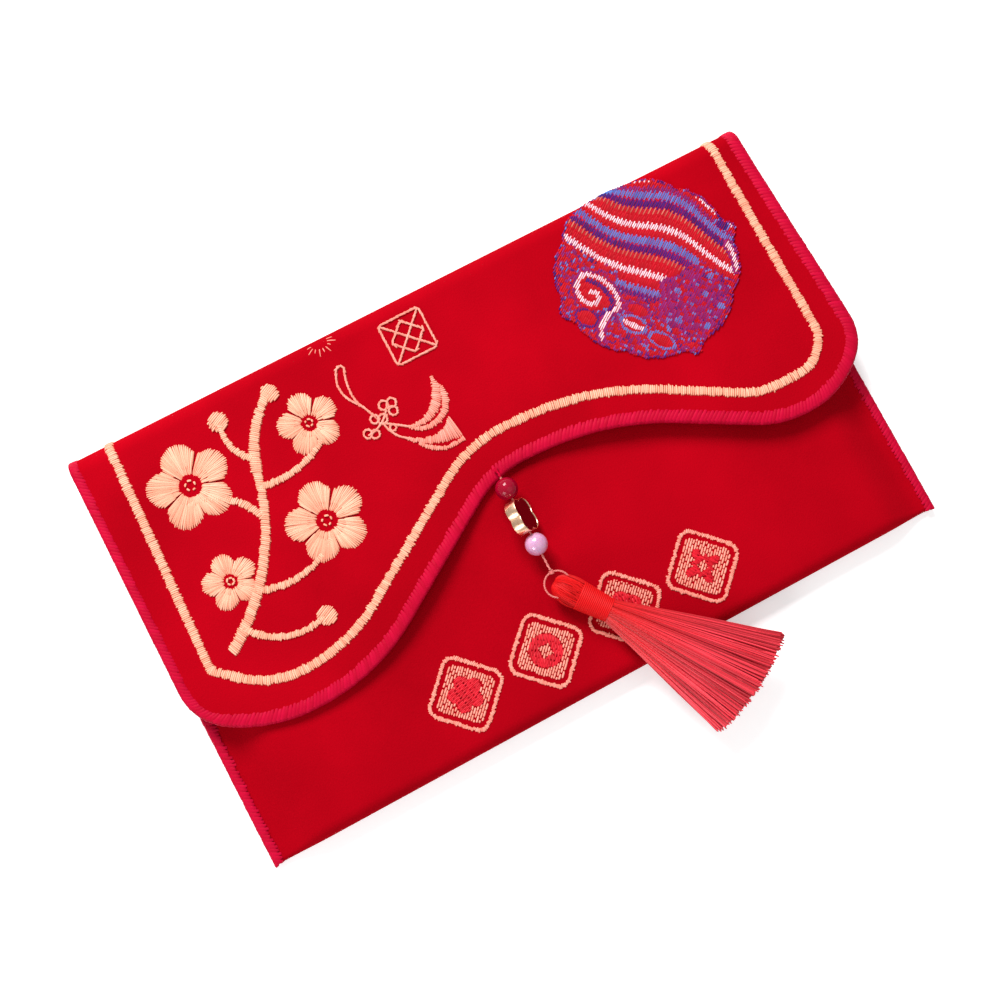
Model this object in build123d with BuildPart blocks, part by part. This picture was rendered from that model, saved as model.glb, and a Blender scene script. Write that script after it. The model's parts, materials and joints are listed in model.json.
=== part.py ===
"""A red velvet gift-money envelope with a scalloped flap, a bead pendant and a tassel.

The origin is the middle of the back panel's outer face. +X runs along the width, +Y towards
the top fold and +Z out of the front, towards the flap. All sizes are in millimetres.
"""

import os
from math import acos, atan2, cos, hypot, radians, sin, tan

from build123d import *

os.makedirs("parts", exist_ok=True)

# Cloth body
width = 195.0
height = 115.0
velvet = 0.6
interlining = 0.4
lining = 0.2
pocket_gap = 4.8
side_slope = 9.0
slope_round = 7.0
mouth_depth = 17.5
fold_lip = 0.2

# Overlocked edges
stitch = 0.3
seam = 3.0
mouth_binding_inset = 6.0

# Flap, measured from the top fold, the cloth edges and the middle
flap_clearance = 0.6
flare_left = 0.8
flare_right = 2.2
left_corner_depth = 74.0
left_lobe_depth = 84.6
left_lobe_start = 16.7
left_lobe_end = 45.1
crest_depth = 53.4
crest_start = -2.5
crest_end = 27.6
right_lobe_depth = 76.9
right_lobe_start = 27.7
right_lobe_end = 9.3
right_corner_depth = 65.8
corner_rounds = (15.0, 42.0, 54.0, 29.0, 80.0, 29.0, 26.0, 13.0)
flap_overrun = 11.0

# Embroidery on the flap, placed from the top fold and from the nearer cloth edge
thread_height = 0.5
border_width = 2.3
patch_inset = 38.1
patch_depth = 24.5
patch_radius = 24.5
patch_cusp = 26.6
patch_height = 0.6
stamp_inset = 92.0
stamp_depth = 11.0
stamp_size = 12.6
stamp_round = 1.2
stamp_line = 0.9
stamp_diamond = 4.5
branch_inset = 39.5
branch_depth = 35.5
branch_width = 3.0
twig_width = 1.8
petal_count = 5
petal_place = 0.6
petal_size = 0.4
petal_gap = 0.18
ornament_inset = 75.5
ornament_depth = 26.5
knot_cord = 1.1
knot_loop_length = 10.4
knot_loop_width = 3.2
knot_loop_turn = 98.0

# Border line: the way from each corner of the flap's outline to its own corner, and its rounds
border_shifts = [
    (11.7, 0.0),
    (9.4, 9.8),
    (3.8, 9.7),
    (-2.9, 9.7),
    (-2.9, 9.8),
    (0.2, 9.8),
    (-1.3, 9.6),
    (-3.6, 9.6),
    (-9.7, 5.1),
    (-6.9, 0.0),
]
border_rounds = (1.4, 24.0, 44.0, 39.0, 90.0, 20.0, 9.0, 7.0)

# Plum branch: bows of its stems through three points, and blossoms and buds with their reach
boughs = [
    ((-24.0, -27.0), (-6.0, -9.0), (2.0, 11.0)),
    ((2.0, 11.0), (6.0, 20.0), (13.5, 28.0)),
]
twigs = [
    ((-12.0, -16.0), (0.0, -18.0), (11.0, -13.0)),
    ((-2.0, 0.0), (-8.0, 8.0), (-17.0, 11.0)),
    ((1.0, 7.0), (12.0, 7.0), (21.0, 11.0)),
    ((-19.0, -23.0), (-10.0, -30.0), (0.0, -30.0)),
    ((3.0, 14.0), (-1.0, 20.0), (-1.0, 26.0)),
]
blossoms = [
    ((-14.5, 15.5), 11.5),
    ((12.0, -8.5), 11.0),
    ((19.5, 16.0), 8.5),
    ((-16.5, -11.0), 7.5),
]
buds = [
    ((14.0, 27.6), 2.4),
    ((1.0, -30.0), 2.6),
    ((-1.0, 27.0), 2.6),
]

# Knot ornament: its loop, rings with their radius, cords, and the outlines of two tassels
knot_loop = (-3.5, 11.4)
knot_rings = [(-3.6, -2.2, 1.6), (0.1, -0.4, 1.9), (3.8, 1.2, 2.1)]
knot_cords = [((-2.8, 6.6), (-0.3, 0.6)), ((-3.6, -2.2), (3.8, 1.2))]
knot_tassels = [
    [(1.0, -1.5), (12.0, -6.0), (18.6, -3.5), (18.7, -0.5), (17.1, 3.2), (12.5, -3.8), (1.0, -0.5)],
    [(0.4, -2.2), (7.5, -12.0), (16.6, -15.4), (16.8, -11.0), (17.6, -6.6), (10.0, -9.4), (1.0, -1.5)],
]

# Diamond seals on the front
seal_count = 4
seal_pitch = 23.1
seal_middle_x = -0.6
seal_rise = 15.5
seal_side = 16.8
seal_round = 3.2
seal_line = 1.2
seal_moat = 0.9
fill_height = 0.3
motif_reach = 4.8
coin_radius = 4.4
coin_hole = 3.0
cloud_lobe = 2.3
cloud_stem = 1.8
cross_bar = 2.2

# Pendant
string_x = -1.9
string_lift = 0.3
thread_radius = 0.3
bore_play = 0.06
knot_radius = 0.8
knot_inset = 0.8
part_gap = 0.05
bead_radius = 2.95
bead_drop = 5.6
charm_drop = 13.6
charm_lobe = 2.9
charm_offset = 1.6
charm_thickness = 3.1
charm_wall = 0.35
enamel_depth = 0.6
charm_tilt = 60.0
pearl_drop = 21.6
string_length = 29.0
string_run_up = 1.2
string_bend = 0.8

# Tassel, measured along its own line from the middle of its loop
loop_radius = 3.4
loop_knot_radius = 0.6
loop_play = 0.25
tassel_turn = 35.5
tassel_clearance = 0.3
head_top = 1.0
head_length = 6.5
head_width = 8.8
head_thickness = 6.8
head_bulge = 4.0
crown_width = 4.5
crown_thickness = 3.6
shoulder = 1.7
shoulder_width = 7.8
shoulder_thickness = 6.0
neck_width = 7.2
neck_thickness = 5.8
neck_length = 8.5
wrap = 0.35
skirt_bend = 32.0
skirt_end = 57.8
skirt_width = 30.0
skirt_thickness = 6.6
skirt_droop = 1.5

# Heights and places that follow
half_width = width / 2
cloth = velvet + interlining + lining
front_top = 2 * cloth + pocket_gap
flap_low = front_top + flap_clearance
flap_top = flap_low + cloth
bottom_round = front_top / 2
top_round = flap_top / 2
fold_y = height / 2
panel_low_y = -fold_y + bottom_round + fold_lip
panel_high_y = fold_y - top_round
panel_mid_y = (panel_low_y + panel_high_y) / 2
panel_length = panel_high_y - panel_low_y
mouth_y = fold_y - mouth_depth
seam_x = half_width - seam
slope_angle = atan2(pocket_gap, side_slope)
foot_x = seam_x - slope_round * tan(slope_angle / 2)
slope_x = foot_x - side_slope
seam_top = 2 * cloth


def save(piece, name):
    """Label a finished piece and write it out."""
    piece.label = name
    export_step(piece, f"parts/{name}.step")


def fitted_rounds(points, rounds):
    """Corner radii, cut back together where two of them do not fit on the run between them."""
    usable = 0.98
    reaches = []
    for before, corner, after, radius in zip(points, points[1:], points[2:], rounds):
        first = (corner[0] - before[0], corner[1] - before[1])
        second = (after[0] - corner[0], after[1] - corner[1])
        dot = first[0] * second[0] + first[1] * second[1]
        turn = acos(dot / (hypot(*first) * hypot(*second)))
        reaches.append([radius, tan(turn / 2)])
    for index in range(1, len(reaches)):
        start, end = points[index], points[index + 1]
        run = hypot(end[0] - start[0], end[1] - start[1])
        left, right = reaches[index - 1], reaches[index]
        share = usable * run / (left[0] * left[1] + right[0] * right[1])
        if share < 1:
            left[0] *= share
            right[0] *= share
    return [radius for radius, _ in reaches]


# Back of the pocket: velvet outside, a stiffening sheet and a satin lining inside
with BuildPart() as back_panel:
    with BuildSketch():
        with Locations((0, panel_mid_y)):
            Rectangle(width, panel_length)
    extrude(amount=velvet)
    with BuildSketch():
        with Locations((-half_width + seam / 2, panel_mid_y), (half_width - seam / 2, panel_mid_y)):
            Rectangle(seam, panel_length)
    extrude(amount=stitch, mode=Mode.SUBTRACT)
save(back_panel.part, "back_panel")

with BuildPart() as back_interlining:
    with BuildSketch(Plane.XY.offset(velvet)):
        with Locations((0, panel_mid_y)):
            Rectangle(width, panel_length)
    extrude(amount=interlining)
save(back_interlining.part, "back_interlining")

with BuildPart() as back_lining:
    with BuildSketch(Plane.XY.offset(velvet + interlining)):
        with Locations((0, panel_mid_y)):
            Rectangle(width, panel_length)
    extrude(amount=lining)
save(back_lining.part, "back_lining")


def front_line(lift):
    """Corners of a line across the front, flat in the middle and sloping down to both seams."""
    low = cloth + lift
    high = low + pocket_gap
    right = [(slope_x, high), (foot_x, low), (half_width, low)]
    left = [(-x, z) for x, z in reversed(right)]
    return left + right


def front_slab(low, high, top_y, length):
    """A slab that follows the front between two heights above the pocket's upper wall."""
    with BuildPart() as slab:
        with BuildSketch(Plane.XZ.offset(-top_y)):
            with BuildLine():
                under = FilletPolyline(*front_line(low), radius=slope_round)
                over = FilletPolyline(*front_line(high), radius=slope_round)
                Line(under @ 0, over @ 0)
                Line(under @ 1, over @ 1)
            make_face()
        extrude(amount=length)
    return slab.part


# Front of the pocket, in the same three layers
front_length = mouth_y - panel_low_y
save(front_slab(0, lining, mouth_y, front_length), "front_lining")
save(front_slab(lining, lining + interlining, mouth_y, front_length), "front_interlining")
save(front_slab(lining + interlining, cloth, mouth_y, front_length), "front_panel")

# Overlocked top edge of the front, round the mouth of the pocket
with BuildPart() as mouth_binding:
    add(front_slab(-stitch, cloth + stitch, mouth_y + stitch, seam + stitch))
    add(front_slab(0, cloth, mouth_y, seam), mode=Mode.SUBTRACT)
    Box(2 * (half_width - mouth_binding_inset), height, 2 * flap_top, mode=Mode.INTERSECT)
save(mouth_binding.part, "mouth_binding")


def fold_section(x, top):
    """The closed end shape of the bottom fold where it is as high as top."""
    round_y = -fold_y + top / 2
    with BuildSketch(Plane.YZ.offset(x)) as section:
        with BuildLine():
            Line((panel_low_y, 0), (round_y, 0))
            ThreePointArc((round_y, 0), (-fold_y, top / 2), (round_y, top))
            Line((round_y, top), (panel_low_y, top))
            Line((panel_low_y, top), (panel_low_y, 0))
        make_face()
    return section.sketch


# Bottom fold, where the back turns up into the front, with its corners pressed flat
with BuildPart() as bottom_fold:
    extrude(fold_section(-slope_x, front_top), amount=2 * slope_x)
    with BuildSketch(Plane.YZ.offset(-slope_x)):
        with Locations((panel_low_y - fold_lip, bottom_round)):
            Circle(bottom_round - cloth)
        with Locations((panel_low_y - fold_lip, bottom_round)):
            Rectangle(bottom_round, front_top - 2 * cloth, align=(Align.MIN, Align.CENTER))
    extrude(amount=2 * slope_x, mode=Mode.SUBTRACT)
    for side in (-1, 1):
        loft([fold_section(side * slope_x, front_top), fold_section(side * seam_x, seam_top)], ruled=True)
save(bottom_fold.part, "bottom_fold")


def side_binding(side):
    """The overlocked side edge: two layers along the pocket, one above the mouth, a tail below."""
    binding_width = seam + stitch
    binding_x = side * (seam_x + binding_width / 2)
    slot_x = side * (seam_x + seam / 2)
    stretches = [
        (panel_high_y, mouth_y, cloth),
        (mouth_y, panel_low_y, seam_top),
    ]
    with BuildPart() as binding:
        for start_y, end_y, layers in stretches:
            with BuildSketch(Plane.XZ.offset(-start_y)):
                with Locations((binding_x, 0)):
                    Rectangle(binding_width, layers + stitch, align=(Align.CENTER, Align.MIN))
                with Locations((slot_x, stitch)):
                    Rectangle(seam, layers - stitch, align=(Align.CENTER, Align.MIN), mode=Mode.SUBTRACT)
            extrude(amount=start_y - end_y)
        with BuildSketch(Plane.XZ.offset(-panel_low_y)):
            with Locations((binding_x, 0)):
                Rectangle(binding_width, seam_top + stitch, align=(Align.CENTER, Align.MIN))
        extrude(amount=panel_low_y + fold_y)
    return binding.part


save(side_binding(-1), "left_side_binding")
save(side_binding(1), "right_side_binding")

# Top fold, where the back turns over into the flap
with BuildPart() as top_fold:
    with BuildSketch(Plane.YZ.offset(-half_width)):
        with Locations((panel_high_y, top_round)):
            Circle(top_round)
            Circle(top_round - cloth, mode=Mode.SUBTRACT)
            Rectangle(top_round, flap_top, align=(Align.MAX, Align.CENTER), mode=Mode.SUBTRACT)
    extrude(amount=width)
save(top_fold.part, "top_fold")

# The flap's outline, from the left end of the fold round to the right end
flap_points = [
    (-half_width, fold_y + flap_overrun),
    (-half_width - flare_left, fold_y - left_corner_depth),
    (-half_width + left_lobe_start, fold_y - left_lobe_depth),
    (-half_width + left_lobe_end, fold_y - left_lobe_depth),
    (crest_start, fold_y - crest_depth),
    (crest_end, fold_y - crest_depth),
    (half_width - right_lobe_start, fold_y - right_lobe_depth),
    (half_width - right_lobe_end, fold_y - right_lobe_depth),
    (half_width + flare_right, fold_y - right_corner_depth),
    (half_width, fold_y + flap_overrun),
]
flap_rounds = fitted_rounds(flap_points, corner_rounds)


def flap_region(grow):
    """The flap's outline moved outwards by grow, and cut straight along the fold."""
    with BuildSketch() as region:
        with BuildLine():
            edge = FilletPolyline(*flap_points, radius=flap_rounds)
            Line(edge @ 1, edge @ 0)
        make_face()
        if grow:
            offset(amount=grow, kind=Kind.INTERSECTION)
        with Locations((0, panel_high_y)):
            Rectangle(2 * width, height, align=(Align.CENTER, Align.MIN), mode=Mode.SUBTRACT)
    return region.sketch


def flap_sheet(low, thickness):
    """One layer of the flap."""
    with BuildPart() as sheet:
        with BuildSketch(Plane.XY.offset(low)):
            add(flap_region(0))
        extrude(amount=thickness)
    return sheet.part


save(flap_sheet(flap_low, lining), "flap_lining")
save(flap_sheet(flap_low + lining, interlining), "flap_interlining")
save(flap_sheet(flap_low + lining + interlining, velvet), "flap_panel")

with BuildPart() as flap_binding:
    with BuildSketch(Plane.XY.offset(flap_low - stitch)):
        add(flap_region(stitch))
        add(flap_region(-seam), mode=Mode.SUBTRACT)
    extrude(amount=cloth + 2 * stitch)
    with BuildSketch(Plane.XY.offset(flap_low)):
        add(flap_region(0))
    extrude(amount=cloth, mode=Mode.SUBTRACT)
save(flap_binding.part, "flap_binding")

# Satin-stitch border that runs round the flap inside its edge
border_points = [(x + inward, y + up) for (x, y), (inward, up) in zip(flap_points, border_shifts)]
with BuildPart() as gold_border:
    with BuildSketch(Plane.XY.offset(flap_top)):
        with BuildLine():
            FilletPolyline(*border_points, radius=fitted_rounds(border_points, border_rounds))
        trace(line_width=border_width)
        with Locations((0, panel_high_y)):
            Rectangle(2 * width, height, align=(Align.CENTER, Align.MIN), mode=Mode.SUBTRACT)
    extrude(amount=thread_height)
save(gold_border.part, "gold_border")

# Round brocade patch with a small point on each side, cut off by the fold
with BuildPart() as round_patch:
    with BuildSketch(Plane.XY.offset(flap_top)):
        with Locations((half_width - patch_inset, fold_y - patch_depth)):
            Circle(patch_radius)
            RegularPolygon(radius=patch_cusp, side_count=4)
        with Locations((0, panel_high_y)):
            Rectangle(width, height, align=(Align.CENTER, Align.MIN), mode=Mode.SUBTRACT)
    extrude(amount=patch_height)
save(round_patch.part, "round_patch")

# Plum branch: a main bough, twigs, open blossoms and buds, about the middle of its field
branch_plane = Plane((-half_width + branch_inset, fold_y - branch_depth, flap_top))
with BuildPart() as plum_branch:
    with BuildSketch(branch_plane):
        for stems, stem_width in ((boughs, branch_width), (twigs, twig_width)):
            for start, middle, end in stems:
                with BuildLine():
                    ThreePointArc(start, middle, end)
                trace(line_width=stem_width)
        for place, reach in blossoms:
            with Locations(place):
                Circle(reach * petal_place)
                with PolarLocations(reach * petal_place, petal_count, start_angle=90):
                    Circle(reach * petal_size)
                Circle(reach * petal_gap, mode=Mode.SUBTRACT)
        for place, reach in buds:
            with Locations(place):
                Circle(reach)
    extrude(amount=thread_height)
save(plum_branch.part, "plum_branch")

# Knot ornament: a long loop, a cluster of small rings and two sweeping tassels
knot_plane = Plane((-half_width + ornament_inset, fold_y - ornament_depth, flap_top))
with BuildPart() as knot_ornament:
    with BuildSketch(knot_plane):
        with Locations(Location(knot_loop, knot_loop_turn)):
            SlotOverall(knot_loop_length, knot_loop_width)
            inner_width = knot_loop_width - 2 * knot_cord
            SlotOverall(knot_loop_length - 2 * knot_cord, inner_width, mode=Mode.SUBTRACT)
        for x, y, radius in knot_rings:
            with Locations((x, y)):
                Circle(radius)
                Circle(radius - knot_cord, mode=Mode.SUBTRACT)
        for start, end in knot_cords:
            with BuildLine():
                Line(start, end)
            trace(line_width=knot_cord)
        for under, under_middle, tip, end_middle, top, over_middle, over in knot_tassels:
            with BuildLine():
                ThreePointArc(under, under_middle, tip)
                ThreePointArc(tip, end_middle, top)
                ThreePointArc(top, over_middle, over)
                Line(over, under)
            make_face()
    extrude(amount=thread_height)
save(knot_ornament.part, "knot_ornament")

# Small square stamp with a plain lattice in it
with BuildPart() as lattice_stamp:
    with BuildSketch(Plane.XY.offset(flap_top)):
        with Locations((-half_width + stamp_inset, fold_y - stamp_depth)):
            RectangleRounded(stamp_size, stamp_size, stamp_round)
            inside = stamp_size - 2 * stamp_line
            Rectangle(inside, inside, mode=Mode.SUBTRACT)
            for angle in (45, 135):
                SlotOverall(hypot(inside, inside), stamp_line, rotation=angle)
            RegularPolygon(radius=stamp_diamond, side_count=4)
            inner_diamond = stamp_diamond - hypot(stamp_line, stamp_line)
            RegularPolygon(radius=inner_diamond, side_count=4, mode=Mode.SUBTRACT)
    extrude(amount=thread_height)
save(lattice_stamp.part, "lattice_stamp")

# Diamond seals on the front: an outline, a filled middle and a red motif in it
seal_y = -fold_y + seal_rise
fill_side = seal_side - 2 * (seal_line + seal_moat)


def seal_motif(index):
    """The plain red ornament of one seal: a blossom, a coin, a cloud or a crossed lattice."""
    with BuildSketch() as motif:
        if index == 0:
            with PolarLocations(motif_reach * petal_place, petal_count, start_angle=90):
                Circle(motif_reach * petal_size)
            Circle(motif_reach * petal_place)
        if index == 1:
            Circle(coin_radius)
            Rectangle(coin_hole, coin_hole, mode=Mode.SUBTRACT)
        if index == 2:
            with Locations((-cloud_lobe, 0), (cloud_lobe, 0), (0, cloud_lobe)):
                Circle(cloud_lobe)
            Rectangle(cloud_stem, 2 * motif_reach - cloud_stem)
        if index == 3:
            for angle in (0, 90):
                SlotOverall(2 * motif_reach, cross_bar, rotation=angle)
            Rectangle(2 * cross_bar, 2 * cross_bar)
            Rectangle(cross_bar, cross_bar, mode=Mode.SUBTRACT)
    return motif.sketch


for index in range(seal_count):
    seal_x = seal_middle_x + (index - (seal_count - 1) / 2) * seal_pitch
    seal_plane = Plane((seal_x, seal_y, front_top))
    with BuildPart() as seal_frame:
        with BuildSketch(seal_plane):
            RectangleRounded(seal_side, seal_side, seal_round, rotation=45)
            inner_side = seal_side - 2 * seal_line
            inner_round = seal_round - seal_line
            RectangleRounded(inner_side, inner_side, inner_round, rotation=45, mode=Mode.SUBTRACT)
        extrude(amount=fill_height)
    save(seal_frame.part, f"seal_frame_{index + 1}")
    with BuildPart() as seal_fill:
        with BuildSketch(seal_plane):
            RectangleRounded(fill_side, fill_side, inner_round, rotation=45)
            add(seal_motif(index), mode=Mode.SUBTRACT)
        extrude(amount=fill_height)
    save(seal_fill.part, f"seal_fill_{index + 1}")
    with BuildPart() as red_motif:
        with BuildSketch(seal_plane):
            add(seal_motif(index))
        extrude(amount=fill_height)
    save(red_motif.part, f"seal_motif_{index + 1}")

# Pendant: a knot on the flap's edge, and a thread that carries two beads and a charm
charm_reach = charm_offset + charm_lobe
charm_sweep = hypot(charm_reach, charm_thickness / 2)
string_z = front_top + string_lift + charm_sweep
binding_top = flap_top + stitch
anchor_y = fold_y - crest_depth + knot_inset - stitch
anchor_z = binding_top + knot_radius + part_gap
bead_y = anchor_y - bead_drop
charm_y = anchor_y - charm_drop
pearl_y = anchor_y - pearl_drop
string_end_y = anchor_y - string_length
bore_radius = thread_radius + bore_play

with BuildPart() as anchor_knot:
    with Locations((string_x, anchor_y, anchor_z)):
        Sphere(knot_radius)
save(anchor_knot.part, "anchor_knot")

anchor = Vector(string_x, anchor_y, anchor_z)
thread_bend = Vector(string_x, anchor_y - string_run_up, string_z)
thread_start = anchor + (thread_bend - anchor).normalized() * (knot_radius + part_gap)

with BuildPart() as bead_thread:
    with BuildLine() as thread_path:
        FilletPolyline(thread_start, thread_bend, (string_x, string_end_y, string_z), radius=string_bend)
    with BuildSketch(Plane(origin=thread_path.line @ 0, z_dir=thread_path.line % 0)):
        Circle(thread_radius)
    sweep()
save(bead_thread.part, "bead_thread")


def bead(y):
    """A round bead threaded along Y."""
    with BuildPart() as ball:
        with Locations((string_x, y, string_z)):
            Sphere(bead_radius)
        with BuildSketch(Plane.XZ.offset(-y)):
            with Locations((string_x, string_z)):
                Circle(bore_radius)
        extrude(amount=bead_radius, both=True, mode=Mode.SUBTRACT)
    return ball.part


save(bead(bead_y), "red_bead")
save(bead(pearl_y), "pearl_bead")

# Four-lobed charm: a gold body with an enamel face let into each side
charm_plane = Plane((string_x, charm_y, string_z)).rotated((0, charm_tilt, 0))


def quatrefoil(inset):
    """Four round lobes round a square middle, drawn in by inset."""
    with BuildSketch() as outline:
        with GridLocations(2 * charm_offset, 2 * charm_offset, 2, 2):
            Circle(charm_lobe - inset)
        Rectangle(2 * charm_offset, 2 * charm_offset)
    return outline.sketch


with BuildPart() as charm_rim:
    with BuildSketch(charm_plane.offset(-charm_thickness / 2)):
        add(quatrefoil(0))
    extrude(amount=charm_thickness)
    for side in (-1, 1):
        with BuildSketch(charm_plane.offset(side * charm_thickness / 2)):
            add(quatrefoil(charm_wall))
        extrude(amount=-side * enamel_depth, mode=Mode.SUBTRACT)
    with BuildSketch(Plane.XZ.offset(-charm_y)):
        with Locations((string_x, string_z)):
            Circle(bore_radius)
    extrude(amount=charm_reach, both=True, mode=Mode.SUBTRACT)
save(charm_rim.part, "charm_rim")

for side, name in ((1, "charm_front_enamel"), (-1, "charm_back_enamel")):
    with BuildPart() as enamel:
        with BuildSketch(charm_plane.offset(side * charm_thickness / 2)):
            add(quatrefoil(charm_wall))
        extrude(amount=-side * enamel_depth)
    save(enamel.part, name)

# Tassel: a thread loop, a bound head and a skirt of yarn that lies over the front
loop_knot_y = string_end_y - part_gap - loop_knot_radius
loop_y = loop_knot_y - loop_radius
tassel_low = front_top + fill_height + tassel_clearance
tassel_line = Vector(sin(radians(tassel_turn)), -cos(radians(tassel_turn)), 0)

with BuildPart() as tassel_loop:
    with Locations((string_x, loop_y, string_z)):
        Torus(loop_radius, thread_radius)
    with Locations((string_x, loop_knot_y, string_z)):
        Sphere(loop_knot_radius, rotation=(0, 90, 0))
save(tassel_loop.part, "tassel_loop")


def tassel_plane(distance, axis_z):
    """The plane across the tassel at a distance along its line."""
    origin = Vector(string_x, loop_y, axis_z) + tassel_line * distance
    return Plane(origin=origin, x_dir=(-tassel_line.Y, tassel_line.X, 0), z_dir=tassel_line)


head_z = tassel_low + head_thickness / 2
skirt_z = tassel_low + skirt_thickness / 2
wrap_end = head_length + neck_length
head_sections = [
    (-head_top, crown_width, crown_thickness),
    (shoulder, shoulder_width, shoulder_thickness),
    (head_bulge, head_width, head_thickness),
    (head_length, neck_width + 2 * wrap, neck_thickness + 2 * wrap),
]

with BuildPart() as tassel_head:
    for place, across, deep in head_sections:
        with BuildSketch(tassel_plane(place, head_z)):
            Ellipse(across / 2, deep / 2)
    loft()
    with Locations((string_x, loop_y, string_z)):
        Torus(loop_radius, thread_radius + loop_play, mode=Mode.SUBTRACT)
save(tassel_head.part, "tassel_head")

with BuildPart() as neck_wrap:
    with BuildSketch(tassel_plane(head_length, head_z)):
        Ellipse(neck_width / 2 + wrap, neck_thickness / 2 + wrap)
        Ellipse(neck_width / 2, neck_thickness / 2, mode=Mode.SUBTRACT)
    extrude(amount=neck_length)
save(neck_wrap.part, "neck_wrap")

with BuildPart() as tassel_skirt:
    with BuildSketch(tassel_plane(head_length, head_z)):
        Ellipse(neck_width / 2, neck_thickness / 2)
    extrude(amount=neck_length)
    for place, droop in ((wrap_end, 0), (skirt_bend, 0), (skirt_end, skirt_droop)):
        share = (place - wrap_end) / (skirt_end - wrap_end)
        across = neck_width + share * (skirt_width - neck_width)
        deep = neck_thickness + share * (skirt_thickness - neck_thickness)
        with BuildSketch(tassel_plane(place, head_z + share * (skirt_z - head_z) - droop)):
            Ellipse(across / 2, deep / 2)
    loft()
save(tassel_skirt.part, "tassel_skirt")

print("string axis height", round(string_z, 3), "anchor", round(anchor_y, 3), round(anchor_z, 3))
print("beads at", round(bead_y, 3), round(charm_y, 3), round(pearl_y, 3))
print("loop centre", round(loop_y, 3), "loop knot", round(loop_knot_y, 3))
print("flap from", round(flap_low, 3), "to", round(flap_top, 3), "fold line", round(panel_high_y, 3))
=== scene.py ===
# %% [markdown]
# # A velvet gift envelope, step by step
# The envelope is sewn from velvet. A long strip makes the back and is folded over at the top to make a
# flap. A second piece is the front, which turns round the bottom fold and meets the strip. The edges
# are overlocked, the ornament is sewn in satin stitch, and beads and a tassel hang from the flap. The
# solid model gives every size and every place. This lesson dresses it in cloth and thread.

import json
import math

import bpy
import numpy as np
from mathutils import Matrix, Vector
from mathutils.geometry import delaunay_2d_cdt


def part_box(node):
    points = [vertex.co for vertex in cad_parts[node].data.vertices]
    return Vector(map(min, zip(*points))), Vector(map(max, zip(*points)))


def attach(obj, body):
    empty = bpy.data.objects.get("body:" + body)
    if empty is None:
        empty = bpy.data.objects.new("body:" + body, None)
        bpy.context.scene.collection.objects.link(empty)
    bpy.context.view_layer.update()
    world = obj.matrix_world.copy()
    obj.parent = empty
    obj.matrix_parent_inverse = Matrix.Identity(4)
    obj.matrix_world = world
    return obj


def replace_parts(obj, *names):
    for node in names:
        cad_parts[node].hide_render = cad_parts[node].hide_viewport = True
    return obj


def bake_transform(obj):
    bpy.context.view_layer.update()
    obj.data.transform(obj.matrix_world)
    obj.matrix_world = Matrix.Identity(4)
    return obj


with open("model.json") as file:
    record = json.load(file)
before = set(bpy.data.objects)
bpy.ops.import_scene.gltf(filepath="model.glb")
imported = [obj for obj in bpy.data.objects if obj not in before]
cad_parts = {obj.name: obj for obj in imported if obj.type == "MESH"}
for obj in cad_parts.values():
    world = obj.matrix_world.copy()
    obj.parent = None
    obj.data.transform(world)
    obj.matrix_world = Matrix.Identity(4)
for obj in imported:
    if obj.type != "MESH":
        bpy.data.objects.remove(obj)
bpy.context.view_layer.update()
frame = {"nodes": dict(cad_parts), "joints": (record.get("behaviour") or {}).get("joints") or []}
MM = 0.001
dice = np.random.default_rng(11)

# %% [markdown]
# ## Sizes from the solid model
# A dressed piece has to lie where its solid lies, so the sizes are read from the solids' boxes and
# not typed again. The script works in millimetres and turns them into metres at the very end.

# %% Read the main sizes


def box_mm(node):
    """Lowest and highest corner of a solid, in millimetres."""
    low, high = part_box(node)
    return np.array(low) / MM, np.array(high) / MM


def joint_mm(name):
    """The place of a joint, in millimetres."""
    joint = next(joint for joint in frame["joints"] if joint["name"] == name)
    return np.array(joint["pos_m"]) / MM


half_width, fold_line = box_mm("back_panel")[1][:2]
panel_low = box_mm("back_panel")[0][1]
fold_radius = box_mm("top_fold")[1][2] / 2
cloth = 2 * fold_radius - box_mm("flap_lining")[0][2]
mouth_y, front_top = box_mm("front_panel")[1][1:]
bottom_y = box_mm("bottom_fold")[0][1]
seam_x = box_mm("right_side_binding")[0][0]
seam_top = 2 * cloth
anchor = joint_mm("pendant_swing")
loop_middle = joint_mm("tassel_swing")
loop_knot = joint_mm("loop_lift")
string_x, string_z = loop_knot[0], loop_knot[2]
print("cloth", round(cloth, 2), "mm, fold radius", round(fold_radius, 2), "mm, mouth at", round(mouth_y, 1))

# %% [markdown]
# ## Camera
# The camera stands above the envelope and a little to its lower left, and it is rolled, so that the
# envelope lies slantwise in the picture. A matrix made of the camera's right, up and back directions
# says all of that at once, with no chain of turns to get wrong.

# %% Place the camera
camera_place = Vector((-36.6, -29.37, 341.26)) * MM
camera_aim = Vector((-4.36, -2.40, 8.06)) * MM
camera_right = Vector((0.8812, -0.4704, 0.0472))
camera_lens = 46.9

look = (camera_aim - camera_place).normalized()
right = (camera_right - look * camera_right.dot(look)).normalized()
up = right.cross(look)
camera = bpy.data.objects.new("camera", bpy.data.cameras.new("camera"))
bpy.context.scene.collection.objects.link(camera)
facing = Matrix((right, up, -look)).transposed()
camera.matrix_world = Matrix.Translation(camera_place) @ facing.to_4x4()
camera.data.lens = camera_lens
camera.data.clip_start = 0.01
bpy.context.scene.camera = camera
print("camera looks down at", round(math.degrees(math.asin(-look.z)), 1), "degrees")

# %% [markdown]
# ## Finishes as Python expressions
# A shader is a web of nodes. One small class wraps a socket, so that sums and products of sockets can
# be written as sums and products.

# %% A socket with arithmetic


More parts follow.
